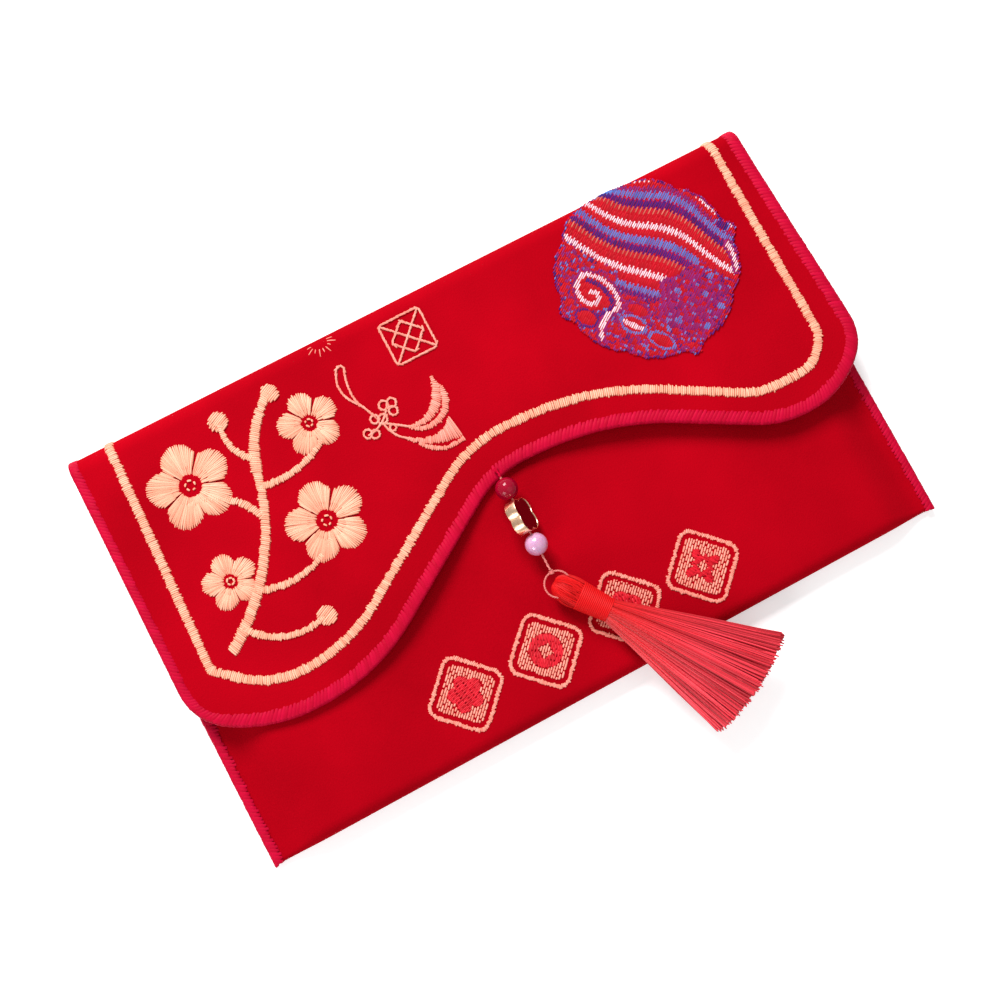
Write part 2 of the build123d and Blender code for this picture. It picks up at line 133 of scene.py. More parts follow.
class Wire:
    """A node's output socket that can be added, multiplied and so on."""

    def __init__(self, tree, socket):
        self.tree = tree
        self.socket = socket

    def math(self, operation, first, second):
        node = self.tree.nodes.new("ShaderNodeMath")
        node.operation = operation
        feed(self.tree, node.inputs[0], first)
        feed(self.tree, node.inputs[1], second)
        return Wire(self.tree, node.outputs[0])

    def __add__(self, other):
        return self.math("ADD", self, other)

    def __radd__(self, other):
        return self.math("ADD", other, self)

    def __sub__(self, other):
        return self.math("SUBTRACT", self, other)

    def __mul__(self, other):
        return self.math("MULTIPLY", self, other)


def feed(tree, slot, value):
    """Link a socket into a slot, or write a plain value on it."""
    if isinstance(value, Wire):
        tree.links.new(value.socket, slot)
    else:
        slot.default_value = value


print("sockets can be added and multiplied now")

# %% [markdown]
# A second class holds one material. One of its methods adds any other kind of node. What most finishes
# need, such as noise, a stored value or a blend of two colours, has a method of its own.

# %% A material that is written with sockets


class Finish:
    """One material. Constant sockets of its surface are given by name when it is made."""

    def __init__(self, name, constants):
        self.material = bpy.data.materials.new(name)
        self.material.use_nodes = True
        self.tree = self.material.node_tree
        self.surface = self.tree.nodes["Principled BSDF"]
        self.set(constants)

    def set(self, sockets):
        for name, value in sockets.items():
            feed(self.tree, self.surface.inputs[name], value)

    def node(self, kind, settings, sockets):
        """Add a node, and return its outputs by name."""
        node = self.tree.nodes.new(kind)
        for name, value in settings.items():
            setattr(node, name, value)
        for name, value in sockets.items():
            slot = next(slot for slot in node.inputs if slot.name == name and slot.enabled)
            feed(self.tree, slot, value)
        return {socket.name: Wire(self.tree, socket) for socket in node.outputs if socket.enabled}

    def place(self):
        return self.node("ShaderNodeTexCoord", {}, {})["Object"]

    def noise(self, size, detail=2.0):
        """Soft random values with blotches of about this size, in millimetres."""
        sockets = {"Vector": self.place(), "Scale": 1 / (size * MM), "Detail": detail}
        return self.node("ShaderNodeTexNoise", {}, sockets)["Fac"]

    def kept(self, name):
        """A value that was stored on the mesh, point by point."""
        return self.node("ShaderNodeAttribute", {"attribute_name": name}, {})["Fac"]

    def between(self, share, first, second):
        """A colour that runs from the first to the second as share goes from 0 to 1."""
        sockets = {"Factor": share, "A": (*first, 1.0), "B": (*second, 1.0)}
        return self.node("ShaderNodeMix", {"data_type": "RGBA"}, sockets)["Result"]

    def bump(self, height, strength, distance):
        """Make the surface uneven. The distance is in millimetres."""
        sockets = {"Height": height, "Strength": strength, "Distance": distance * MM}
        self.set({"Normal": self.node("ShaderNodeBump", {}, sockets)["Normal"]})


print("finishes can be written now")

# %% [markdown]
# ## Velvet, satin and thread
# Velvet is a forest of short upright hairs. Seen from above it is deep and dull, and along its rims
# it glows, which is what the sheen of the surface shader is for. Stroked one way or the other, the
# pile makes broad lighter and darker blotches. Thread is shinier, and no two stitches catch the light
# alike, so every strand carries its own random shade, which is stored on the mesh.

# %% Make the cloth and thread finishes


def velvet_finish(name, dark, light):
    sheen = {"Sheen Weight": 0.3, "Sheen Roughness": 0.4, "Sheen Tint": (1.0, 0.01, 0.03, 1.0)}
    finish = Finish(name, {**sheen, "Specular IOR Level": 0.01})
    stroked = finish.noise(34.0, 3.0)
    hairs = finish.noise(0.45, 3.0)
    share = stroked * 1.7 + hairs * 0.6 - 0.65
    finish.set({"Base Color": finish.between(share, dark, light), "Roughness": 0.75 + hairs * 0.2})
    finish.bump(hairs, 0.35, 0.25)
    return finish.material


def satin_finish(name, dark, light):
    finish = Finish(name, {"Specular IOR Level": 0.1})
    weave = finish.node(
        "ShaderNodeTexWave",
        {"wave_type": "BANDS", "bands_direction": "DIAGONAL"},
        {"Vector": finish.place(), "Scale": 500.0, "Distortion": 1.5},
    )["Fac"]
    share = finish.noise(12.0) * 0.8 + weave * 0.25
    finish.set({"Base Color": finish.between(share, dark, light), "Roughness": 0.42 + weave * 0.14})
    finish.bump(weave, 0.2, 0.06)
    return finish.material


def thread_finish(name, dark, light, shine=0.22, gloss=0.42):
    finish = Finish(name, {"Specular IOR Level": shine})
    fibre = finish.noise(0.25, 2.0)
    share = finish.kept("shade") * 0.75 + fibre * 0.35
    finish.set({"Base Color": finish.between(share, dark, light), "Roughness": gloss + fibre * 0.25})
    finish.bump(fibre, 0.3, 0.08)
    return finish.material


red_velvet = velvet_finish("red_velvet", (0.29, 0.0004, 0.0045), (0.42, 0.0007, 0.007))
red_satin = satin_finish("red_satin", (0.34, 0.003, 0.010), (0.56, 0.010, 0.022))
crimson_thread = thread_finish("crimson_thread", (0.405, 0.0006, 0.0185), (0.52, 0.0014, 0.032), 0.06)
peach_thread = thread_finish("peach_thread", (0.84, 0.29, 0.18), (0.98, 0.50, 0.34))
rosy_peach = thread_finish("rosy_peach_thread", (0.80, 0.215, 0.155), (0.96, 0.36, 0.28))
seal_red = thread_finish("seal_red_thread", (0.48, 0.002, 0.010), (0.74, 0.008, 0.026))
rose_thread = thread_finish("rose_thread", (0.52, 0.08, 0.08), (0.80, 0.26, 0.23), 0.4)
head_yarn = thread_finish("head_yarn", (0.44, 0.001, 0.002), (0.76, 0.007, 0.009), 0.16, 0.44)
patch_colours = {
    "red": ((0.48, 0.001, 0.009), (0.68, 0.002, 0.016)),
    "white": ((0.74, 0.42, 0.54), (0.95, 0.78, 0.85)),
    "light_blue": ((0.045, 0.10, 0.42), (0.12, 0.24, 0.66)),
    "navy": ((0.010, 0.004, 0.11), (0.04, 0.010, 0.24)),
    "rust": ((0.46, 0.06, 0.05), (0.68, 0.19, 0.13)),
    "purple": ((0.14, 0.006, 0.11), (0.32, 0.020, 0.21)),
}
patch_threads = [
    thread_finish(f"patch_{name}", dark, light, 0.14) for name, (dark, light) in patch_colours.items()
]
print("cloth and thread finishes:", len(bpy.data.materials))

# %% [markdown]
# ## Metal, enamel, bead and pearl
# The pendant is the only hard thing here. Plated metal is mirror-like with faint rubbing marks,
# enamel is glass on metal, the first bead lets light through, and a pearl is a milky ball under a
# clear skin.

# %% Make the pendant's finishes


def hard_finish(name, dark, light, size, constants, dull, spread):
    """A smooth surface with a faint mottle in its colour and gloss."""
    finish = Finish(name, constants)
    mottle = finish.noise(size, 3.0)
    finish.set({"Base Color": finish.between(mottle, dark, light), "Roughness": dull + mottle * spread})
    finish.bump(mottle, 0.04, 0.05)
    return finish.material


metal = {"Metallic": 1.0}
enamel = {"Coat Weight": 0.5, "Coat Roughness": 0.05}
glass = {"Transmission Weight": 0.1, "IOR": 1.45, "Specular IOR Level": 0.2, "Coat Weight": 0.15}
milky = {"Coat Weight": 1.0, "Coat Roughness": 0.05, "Subsurface Weight": 0.15}
gold_plate = hard_finish("gold_plate", (1.0, 0.55, 0.33), (1.0, 0.75, 0.52), 1.2, metal, 0.2, 0.16)
dark_enamel = hard_finish(
    "dark_enamel", (0.03, 0.0004, 0.0015), (0.07, 0.0007, 0.003), 1.5, enamel, 0.08, 0.1
)
bead_glass = hard_finish("bead_glass", (0.24, 0.0006, 0.012), (0.38, 0.0012, 0.026), 2.0, glass, 0.1, 0.1)
pearl_skin = hard_finish("pearl_skin", (0.50, 0.19, 0.38), (0.76, 0.40, 0.58), 2.4, milky, 0.2, 0.15)
print("all finishes:", len(bpy.data.materials))

# %% [markdown]
# ## Where the cloth lies
# The strip is unrolled in thought. A point on it has x across the envelope and s along the strip, and
# depth says how far it lies under the velvet's outer face. One function turns these three numbers into
# a place in space, for the flap, the fold and the back alike. Cloth, stitches and edges all call it,
# so they can't drift apart. The flap stands off a little on its right and at the neck beside its crest,
# and it lies close where the pendant's weight pulls it down.

# %% The strip: flap, top fold and back
lift_right = 2.8
lift_span = (2.0, 34.0)
lift_neck = 2.2
neck_place = (-30.0, -14.0)
neck_reach = 20.0
free_run = 62.0
ripple_height = 0.14
ripple_length = (19.0, 15.0)
ripple_run = 20.0
pull_reach = 12.0
edge_press = 0.42
fold_run = math.pi * fold_radius
strip_end = fold_line + fold_run + fold_line - panel_low


def smooth(low, high, value):
    """0 at low, 1 at high, and smooth between them."""
    share = np.clip((value - low) / (high - low), 0, 1)
    return share * share * (3 - 2 * share)


def hump(x, y, middle, reach):
    """1 at the middle, and less and less away from it."""
    return np.exp(-((x - middle[0]) ** 2 + (y - middle[1]) ** 2) / reach**2)


def flap_lift(x, y):
    """How far the flap stands off its flat place."""
    free = smooth(fold_line, fold_line - free_run, y)
    lift = lift_right * smooth(*lift_span, x) + lift_neck * hump(x, y, neck_place, neck_reach)
    ripple = ripple_height * np.sin(x / ripple_length[0] + 0.7) * np.sin(y / ripple_length[1] + 1.1)
    calm = 1 - hump(x, y, anchor, pull_reach)
    return (free * lift + smooth(fold_line, fold_line - ripple_run, y) * ripple) * calm


def cover(x, s, depth):
    """A place on the strip, in millimetres."""
    x, s, depth = np.broadcast_arrays(*(np.asarray(value, float) for value in (x, s, depth)))
    turn = np.clip((s - fold_line) / fold_radius, 0, math.pi)
    reach = fold_radius - depth
    flap_y = np.minimum(s, fold_line)
    down_back = np.maximum(s - fold_line - fold_run, 0)
    y = flap_y + reach * np.sin(turn) - down_back
    pressed = edge_press * smooth(seam_x - 1, seam_x, np.abs(x)) * smooth(0.8 * math.pi, math.pi, turn)
    z = fold_radius + reach * np.cos(turn) + flap_lift(x, flap_y) + pressed * (1 - depth / cloth)
    return np.stack([x, y, z], -1)


print("the strip runs from the flap's tip to s =", round(strip_end, 1), "mm")

# %% [markdown]
# The front and the bottom fold are the same idea. The front stands high in the middle, where notes
# lie behind it. The bottom fold is as tall as the front is at each place.

# %% The front and the bottom fold
puff_run = 12.5
front_dip = 0.35
dip_margin = (4.0, 40.0)
dip_run = 25.0
dip_length = (24.0, 21.0)


def front_height(x):
    """How high the pocket's front stands. It comes down to the seams at both sides."""
    return seam_top + (front_top - seam_top) * smooth(seam_x, seam_x - puff_run, np.abs(x))


def front(x, p, depth):
    """A place on the front, where p runs down from the mouth and round the bottom fold."""
    x, p, depth = np.broadcast_arrays(*(np.asarray(value, float) for value in (x, p, depth)))
    radius = front_height(x) / 2
    run = mouth_y - bottom_y - radius
    turn = np.clip((p - run) / radius, 0, math.pi)
    y = mouth_y - np.minimum(p, run) - (radius - depth) * np.sin(turn)
    y = y + np.maximum(p - run - math.pi * radius, 0)
    inner = smooth(seam_x - dip_margin[0], seam_x - dip_margin[1], np.abs(x))
    inner = inner * smooth(0, dip_run, p) * smooth(run, run - dip_run, p)
    dip = front_dip * inner * (0.5 + 0.5 * np.sin(x / dip_length[0] + 0.4) * np.cos(p / dip_length[1]))
    z = radius + (radius - depth) * np.cos(turn) - dip
    return np.stack([x, y, z], -1)


def front_at(x, y, depth):
    """A place on the flat of the front, by its x and y."""
    return front(x, mouth_y - y, depth)


print("front height at the middle and at the seam:", front_height(0.0), front_height(seam_x))

# %% [markdown]
# ## Meshes from points
# Every piece is a list of points and a list of faces. A piece of cloth is closed: it has an outer face,
# an inner face and a thin wall between them. The wall's edges are marked sharp, so that smooth shading
# doesn't smear them.

# %% Build and finish a piece
sharp_angle = math.radians(50)
fold_slack = 0.35


def piece(name, points, faces, finishes, slot):
    """A mesh object from points in millimetres."""
    mesh = bpy.data.meshes.new(name)
    mesh.from_pydata((np.asarray(points) * MM).tolist(), [], faces)
    for face in mesh.polygons:
        face.use_smooth = True
    mesh.set_sharp_from_angle(angle=sharp_angle)
    for finish in finishes:
        mesh.materials.append(finish)
    thing = bpy.data.objects.new(name, mesh)
    bpy.context.scene.collection.objects.link(thing)
    return thing


def bend_over_fold(thing):
    """The piece on the top fold, with its place baked into its points; nothing bends it."""
    low, high = cloth * MM, (2 * fold_radius - cloth - fold_slack) * MM
    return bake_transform(thing)


def closed_sheet(outer, inner, faces):
    """Points and faces of a sheet, from its two sides and the outer side's faces."""
    count = len(outer)
    edges = {}
    for face in faces:
        for first, second in zip(face, face[1:] + face[:1]):
            edges[first, second] = True
    rim = [(a, b) for a, b in edges if (b, a) not in edges]
    under = [[count + corner for corner in reversed(face)] for face in faces]
    walls = [[a, count + a, count + b, b] for a, b in rim]
    return np.concatenate([outer, inner]), faces + under + walls


def ring_faces(rings, around, joined=False):
    """Faces between rings of points that follow one another. Joined, the last ring meets the first."""
    faces = []
    for ring in range(rings if joined else rings - 1):
        here, beyond = ring * around, (ring + 1) % rings * around
        for j in range(around):
            k = (j + 1) % around
            faces.append([here + j, here + k, beyond + k, beyond + j])
    return faces


def end_caps(rings, around):
    """The two faces that close the first and the last of such rings."""
    return [list(range(around))[::-1], list(range((rings - 1) * around, rings * around))]


print("pieces can be built now")

# %% [markdown]
# ## The flap's edge
# The flap's outline is read from the solid: the edges of its top face that belong to one face only.
# Helpers walk such an outline, set its points a steady step apart and cut out the part that hangs
# below the fold.

# %% Walk the outline of a flat solid
near = 0.01


def unit(vectors):
    return vectors / np.maximum(np.linalg.norm(vectors, axis=-1, keepdims=True), 1e-9)


def leftward(way):
    """Flat directions, turned a quarter to the left."""
    return np.stack([-way[..., 1], way[..., 0]], -1)


def upright(x, rows):
    """A straight line of points at one x."""
    return np.stack([np.full(len(rows), x), rows], -1)


def top_loops(node):
    """Closed loops round a flat solid's top face, as (x, y) in millimetres, anticlockwise outside."""
    mesh = frame["nodes"][node].data
    points = np.array([vertex.co for vertex in mesh.vertices]) / MM
    top = points[:, 2] > points[:, 2].max() - near
    keys = [tuple(point) for point in np.round(points[:, :2], 3)]
    edges = set()
    for face in mesh.polygons:
        corners = list(face.vertices)
        if top[corners].all():
            ring = [keys[corner] for corner in corners]
            edges.update(zip(ring, ring[1:] + ring[:1]))
    following = {a: b for a, b in edges if (b, a) not in edges}
    loops = []
    while following:
        start = next(iter(following))
        loop = [start]
        while loop[-1] in following:
            loop.append(following.pop(loop[-1]))
        loops.append(np.array(loop[:-1]))
    return loops


def resampled(line, step):
    """The same line with points a steady step apart."""
    line = np.asarray(line, float)
    along = np.concatenate([[0], np.cumsum(np.hypot(*np.diff(line, axis=0).T))])
    marks = np.linspace(0, along[-1], max(2, round(along[-1] / step) + 1))
    return np.stack([np.interp(marks, along, line[:, axis]) for axis in (0, 1)], -1)


def from_fold_to_fold(loop):
    """The part of a loop that leaves the fold line at the left and comes back at the right."""
    at_fold = np.abs(loop[:, 1] - fold_line) < near
    first = int(np.argmin(np.where(at_fold, loop[:, 0], np.inf)))
    walk, at_fold = np.roll(loop, -first, axis=0), np.roll(at_fold, -first)
    last = int(np.argmax(np.where(at_fold, walk[:, 0], -np.inf)))
    return walk[: last + 1]


print("outlines can be walked now")

# %% [markdown]
# The flap is walked from the left end of the fold to the right end, and a stretch round the fold is
# added at both ends. The inward direction is kept for every point, because stitches are sewn square to
# an edge.

# %% Find the flap's edge
flap_outline = from_fold_to_fold(top_loops("flap_panel")[0])
over_fold = np.linspace(fold_line + fold_run, fold_line, 40)[:-1]
left_end = upright(flap_outline[0, 0], over_fold)
right_end = upright(flap_outline[-1, 0], over_fold[::-1])
edge = resampled(np.concatenate([left_end, flap_outline, right_end]), 0.5)
edge_along = np.arange(len(edge)) * np.hypot(*(edge[1] - edge[0]))
inward = leftward(unit(np.gradient(edge, axis=0)))
print("overlocked edge of the flap:", round(edge_along[-1]), "mm")

# %% [markdown]
# ## Flap, fold and back in one velvet sheet
# The cloth could be three pieces, but a seam would show along the fold. So the whole strip is one mesh.
# Its flat outline is filled with points and triangulated first. Points lie close together on the fold,
# where the cloth turns.

# %% Cut the strip
grid_step = 3.0
fold_step = 0.7
keep_off = 1.3


def inside(points, loop):
    """True for the points that lie inside a closed loop."""
    a, b = loop, np.roll(loop, -1, axis=0)
    x, y = points[:, :1], points[:, 1:]
    crossing = (a[:, 1] > y) != (b[:, 1] > y)
    rise = np.where(a[:, 1] == b[:, 1], 1, b[:, 1] - a[:, 1])
    return ((crossing & (x < a[:, 0] + (y - a[:, 1]) / rise * (b[:, 0] - a[:, 0]))).sum(1) % 2) == 1


fold_rows = np.arange(fold_line, fold_line + fold_run, fold_step)
back_rows = np.append(np.arange(fold_line + fold_run, strip_end, grid_step), strip_end)
side_rows = np.concatenate([fold_rows[1:], back_rows])
columns = np.linspace(-half_width, half_width, round(2 * half_width / grid_step) + 1)
right_side, left_side = upright(half_width, side_rows), upright(-half_width, side_rows[::-1])
back_end = np.stack([columns[-2:0:-1], np.full(len(columns) - 2, strip_end)], -1)
cut = np.concatenate([resampled(flap_outline, 1.5), right_side, back_end, left_side])

flap_rows = np.arange(cut[:, 1].min() + keep_off, fold_line - fold_step, grid_step)
rows = np.concatenate([flap_rows, fold_rows, back_rows[:-1]])
filling = np.stack(np.meshgrid(columns, rows), -1).reshape(-1, 2)
filling = filling[inside(filling, cut)]
gap = np.min(np.linalg.norm(filling[:, None] - cut[None], axis=2), axis=1)
room = np.where(filling[:, 1] > fold_line, 0.5, 1.0) * keep_off
flat_points = np.concatenate([cut, filling[gap > room]])
cut_edges = [(i, (i + 1) % len(cut)) for i in range(len(cut))]
flat, _, triangles, *_ = delaunay_2d_cdt(
    [Vector(point) for point in flat_points], cut_edges, [list(range(len(cut)))], 1, 1e-5
)
flat = np.array([tuple(point) for point in flat])
corners = flat[np.array(triangles)]
sides = corners[:, 1:] - corners[:, :1]
cut_area = 0.5 * np.abs(np.cross(sides[:, 0], sides[:, 1])).sum()
print("flat cut:", len(flat), "points,", round(cut_area / 100, 1), "square centimetres")

# %% [markdown]
# Now the cut is laid in place by the function above, once as velvet and once, deeper down, as the satin
# lining.

# %% Lay the strip and its lining


def strip_sheet(name, outer_depth, inner_depth, finish, slot):
    outer = cover(flat[:, 0], flat[:, 1], outer_depth)
    inner = cover(flat[:, 0], flat[:, 1], inner_depth)
    sheet = piece(name, *closed_sheet(outer, inner, [list(face) for face in triangles]), [finish], slot)
    return bend_over_fold(sheet)


satin_thick, layer_gap = 0.25, 0.1
lining_depth = cloth - satin_thick
velvet_depth = lining_depth - layer_gap
strip_velvet = strip_sheet("strip_velvet", 0.0, velvet_depth, red_velvet, "red_velvet")
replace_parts(strip_velvet, "back_panel", "top_fold", "flap_panel", "back_interlining", "flap_interlining")
strip_lining = strip_sheet("strip_lining", lining_depth, cloth, red_satin, "satin_lining")
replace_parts(strip_lining, "back_lining", "flap_lining")
print("strip laid, faces:", len(strip_velvet.data.polygons))

# %% [markdown]
# ## The front and the bottom fold
# The front is a plain rectangle of cloth, so a grid is enough. Its columns run down from the mouth,
# round the bottom fold and up the back until they meet the strip.

# %% Lay the front and its lining


def grid_faces(across, down):
    """Faces of a grid whose points run down each column in turn."""
    return [
        [i * down + j, i * down + j + 1, (i + 1) * down + j + 1, (i + 1) * down + j]
        for i in range(across - 1)
        for j in range(down - 1)
    ]


front_columns = np.linspace(-half_width, half_width, 99)
radius = front_height(front_columns) / 2
flat_run = mouth_y - bottom_y - radius
flat_share = np.linspace(0, 1, 44)
turn_share = np.linspace(0, 1, 15)[1:]
tail = panel_low - bottom_y - radius
front_p = np.concatenate(
    [
        flat_run[:, None] * flat_share,
        flat_run[:, None] + math.pi * radius[:, None] * turn_share,
        (flat_run + math.pi * radius + tail)[:, None],
    ],
    axis=1,
)


def front_sheet(name, p, outer_depth, inner_depth, finish, slot):
    outer = front(front_columns[:, None], p, outer_depth).reshape(-1, 3)
    inner = front(front_columns[:, None], p, inner_depth).reshape(-1, 3)
    faces = grid_faces(len(front_columns), p.shape[1])
    sheet = piece(name, *closed_sheet(outer, inner, faces), [finish], slot)
    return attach(sheet, "pocket")


front_velvet = front_sheet("front_velvet", front_p, 0.0, velvet_depth, red_velvet, "red_velvet")
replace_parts(front_velvet, "front_panel", "front_interlining", "bottom_fold")
lined_p = front_p[:, : len(flat_share) - 1]
front_lining = front_sheet("front_lining_satin", lined_p, lining_depth, cloth, red_satin, "satin_lining")
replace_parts(front_lining, "front_lining")
print("front laid, faces:", len(front_velvet.data.polygons))

# %% [markdown]
# ## Thread
# A stitch is a short bent tube. There are thousands, so they aren't made one by one: all the paths of
# a piece go into one array, and rings of points are put round all of them at once. Each strand gets a
# random shade between 0 and 1, which the thread finishes read.

# %% Put tubes round many paths at once


def threads(name, paths, radii, ups, finishes, slot, form=(1.0, 1.0), sides=5, kinds=None):
    """Strands along paths of shape (strands, points, 3). The form scales them sideways and upwards."""
    count, points, _ = paths.shape
    tangents = unit(np.gradient(paths, axis=1))
    across = unit(np.cross(tangents, np.broadcast_to(ups, paths.shape)))
    rise = np.cross(across, tangents)
    angles = np.arange(sides) * 2 * math.pi / sides
    ring = across[:, :, None] * np.cos(angles)[:, None] * form[0]
    ring = ring + rise[:, :, None] * np.sin(angles)[:, None] * form[1]
    radii = np.broadcast_to(radii, (count, points))
    corners = (paths[:, :, None] + ring * radii[:, :, None, None]).reshape(-1, 3)
    walls = np.array(ring_faces(points, sides))
    firsts = np.arange(count)[:, None] * points * sides
    faces = (walls[None] + firsts[:, :, None]).reshape(-1, 4).tolist()
    for cap in end_caps(points, sides):
        faces += (np.array(cap) + firsts).tolist()
    thing = piece(name, corners, faces, finishes, slot)
    shade = np.repeat(dice.random(count), points * sides).astype(np.float32)
    thing.data.attributes.new("shade", "FLOAT", "POINT").data.foreach_set("value", shade)
    if kinds is not None:
        index = np.concatenate([np.repeat(kinds, len(walls)), kinds, kinds]).astype(np.int32)
        thing.data.polygons.foreach_set("material_index", index)
    return thing


print("threads can be spun now")

# %% [markdown]
# ## Overlocked edges
# An overlocker throws thread round the cut edge in close slanting turns. Each turn here is one open
# strand: it starts on the velvet, goes over the edge and ends underneath. A turn is flat, thin where it
# starts and broad at the rim, so that the turns close up there and the edge looks smooth. The turns
# that sit on the fold are a piece of their own.

# %% Sew the flap's edge
turn_pitch = 1.0
turn_slant = 1.3
over_edge = [(3.1, 0.12), (2.6, -0.1), (1.4, -0.16), (0.2, -0.1), (-0.22, 0.2), (-0.32, 0.6)]
under_edge = [(-0.22, 1.0), (0.2, 1.2), (1.4, 1.22), (3.0, 1.1)]
turn_line = np.array(over_edge + under_edge)
turn_radius = 0.68 * np.array([0.4, 0.56, 0.8, 1.0, 1.0, 1.0, 1.0, 1.0, 0.8, 0.6])
turn_form = (0.30, 1.12)
turn_sides = 8
left_narrowing, left_span = 0.26, (-90.0, -95.0)
look_ahead = 0.3


def flap_edge(along, inset, depth):
    """A place near the flap's edge, by the way along it, the distance in from it and the depth."""
    x, s, in_x, in_s = (np.interp(along, edge_along, values) for values in (*edge.T, *inward.T))
    inset = inset * (1 - left_narrowing * smooth(*left_span, x))
    return cover(x + inset * in_x, s + inset * in_s, depth)


def overlocked(name, place, stations, line):
    """Turns of thread round an edge, whose place function takes along, inset and depth."""
    wobble = dice.normal(0, 0.05, len(stations))
    along = stations[:, None] + wobble[:, None] + turn_slant * (line[None, :, 0] / 3 - 0.5)
    inset = line[:, 0] + dice.normal(0, 0.03, along.shape)
    inset[:, 0] += dice.normal(0, 0.18, len(stations))
    depth = np.broadcast_to(line[:, 1], along.shape)
    ups = unit(place(along + look_ahead, inset, depth) - place(along - look_ahead, inset, depth))
    paths, finishes = place(along, inset, depth), [crimson_thread]
    return threads(name, paths, turn_radius, ups, finishes, "overlock_thread", turn_form, turn_sides)


stations = np.arange(turn_pitch / 2, edge_along[-1], turn_pitch)
on_fold = np.interp(stations, edge_along, edge[:, 1]) > fold_line
for name, part in (("flap_overlock", ~on_fold), ("fold_overlock", on_fold)):
    turns = overlocked(name, flap_edge, stations[part], turn_line)
    if name == "flap_overlock":
        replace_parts(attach(turns, "flap"), "flap_binding")
    else:
        bend_over_fold(turns)
print("turns of thread round the flap:", len(stations))

# %% [markdown]
# The side seams hold two layers below the pocket's mouth and one above it, so the height of the turns
# changes there. Their lower side is sunk into the back, so that the envelope still lies flat. The mouth
# of the pocket has its own row of turns, which shows only when the flap is up.

# %% Sew the side seams and the mouth
side_pitch = 1.0
seam_floor = 0.31
mouth_margin = 0.6


def side_seam(side):
    """The place function of one side seam. Its depth is a share from the top, 0, to the back, 1."""

    def place(along, inset, depth):
        y = np.maximum(fold_line - along, bottom_y + 0.25)
        top = cloth + (seam_top - cloth) * smooth(mouth_y + 1.5, mouth_y, y)
        z = seam_floor + (top - 0.05) * (1 - depth)
        return np.stack(np.broadcast_arrays(side * (half_width - inset), y, z), -1)

    return place


seam_over = [(2.3, 0.08), (1.9, -0.03), (1.1, -0.04), (0.2, 0.0), (-0.15, 0.2), (-0.22, 0.5)]
seam_under = [(-0.15, 0.8), (0.2, 0.98), (1.1, 1.0), (2.2, 0.97)]
seam_line = np.array(seam_over + seam_under)
seam_stations = np.arange(0.0, fold_line - bottom_y + 0.6, side_pitch)
for name, side in (("left", -1), ("right", 1)):
    turns = overlocked(f"{name}_seam_overlock", side_seam(side), seam_stations, seam_line)
    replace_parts(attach(turns, "pocket"), f"{name}_side_binding")

mouth_low, mouth_high = box_mm("mouth_binding")


def mouth_edge(along, inset, depth):
    return front(mouth_low[0] + along, inset, depth)


mouth_stations = np.arange(mouth_margin, mouth_high[0] - mouth_low[0] - mouth_margin, side_pitch)
mouth_turns = overlocked("mouth_overlock", mouth_edge, mouth_stations, turn_line)
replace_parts(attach(mouth_turns, "pocket"), "mouth_binding")
print("turns on each side seam:", len(seam_stations), "and on the mouth:", len(mouth_stations))

# %% [markdown]
# ## Satin stitch
# Satin stitch lays threads side by side, straight from one side of a shape to the other. A column sets
# stitches across a line, a stem sets them along it, and rows fill any closed loop. All three return
# pairs of points on the flat cloth. A bow through three points is line enough for all the ornament.

# %% Lines, columns, stems and rows
stitch_pitch = 0.5
shortest_stitch = 0.4


def compass(turn):
    """Flat directions at some angles."""
    return np.stack([np.cos(turn), np.sin(turn)], -1)


def turned(points, turn):
    """Flat points, turned about the origin."""
    return points @ np.array([[math.cos(turn), math.sin(turn)], [-math.sin(turn), math.cos(turn)]])


def column(line, width, pitch=stitch_pitch, slant=0.18):
    """Stitches across a line. The width runs through its values on the way."""
    line = resampled(line, pitch)
    tangent = unit(np.gradient(line, axis=0))
    across = leftward(tangent) + slant * tangent
    half = np.interp(np.linspace(0, 1, len(line)), np.linspace(0, 1, len(width)), width)[:, None] / 2
    return np.stack([line + across * half, line - across * half], 1)


def stem(line, pitch=1.0, length=1.7, lean=0.14):
    """Stitches along a line, each beside the last, which make a thin rope."""
    line = resampled(line, pitch)
    tangent = unit(np.gradient(line, axis=0))
    reach, side = tangent * length / 2, lean * leftward(tangent)
    return np.stack([line - reach + side, line + reach - side], 1)


def bow(first, middle, last, count=40):
    """Points on the circle through three points, from the first to the last."""
    corners = np.array([first, middle, last], float)
    square = (corners**2).sum(1)
    system = np.stack([2 * (corners[1] - corners[0]), 2 * (corners[2] - corners[0])])
    centre = np.linalg.solve(system, square[1:] - square[0])
    turns = np.unwrap(np.arctan2(*(corners - centre).T[::-1]))
    turn = np.linspace(turns[0], turns[2], count)
    reach = np.linalg.norm(corners[0] - centre)
    return centre + reach * compass(turn)


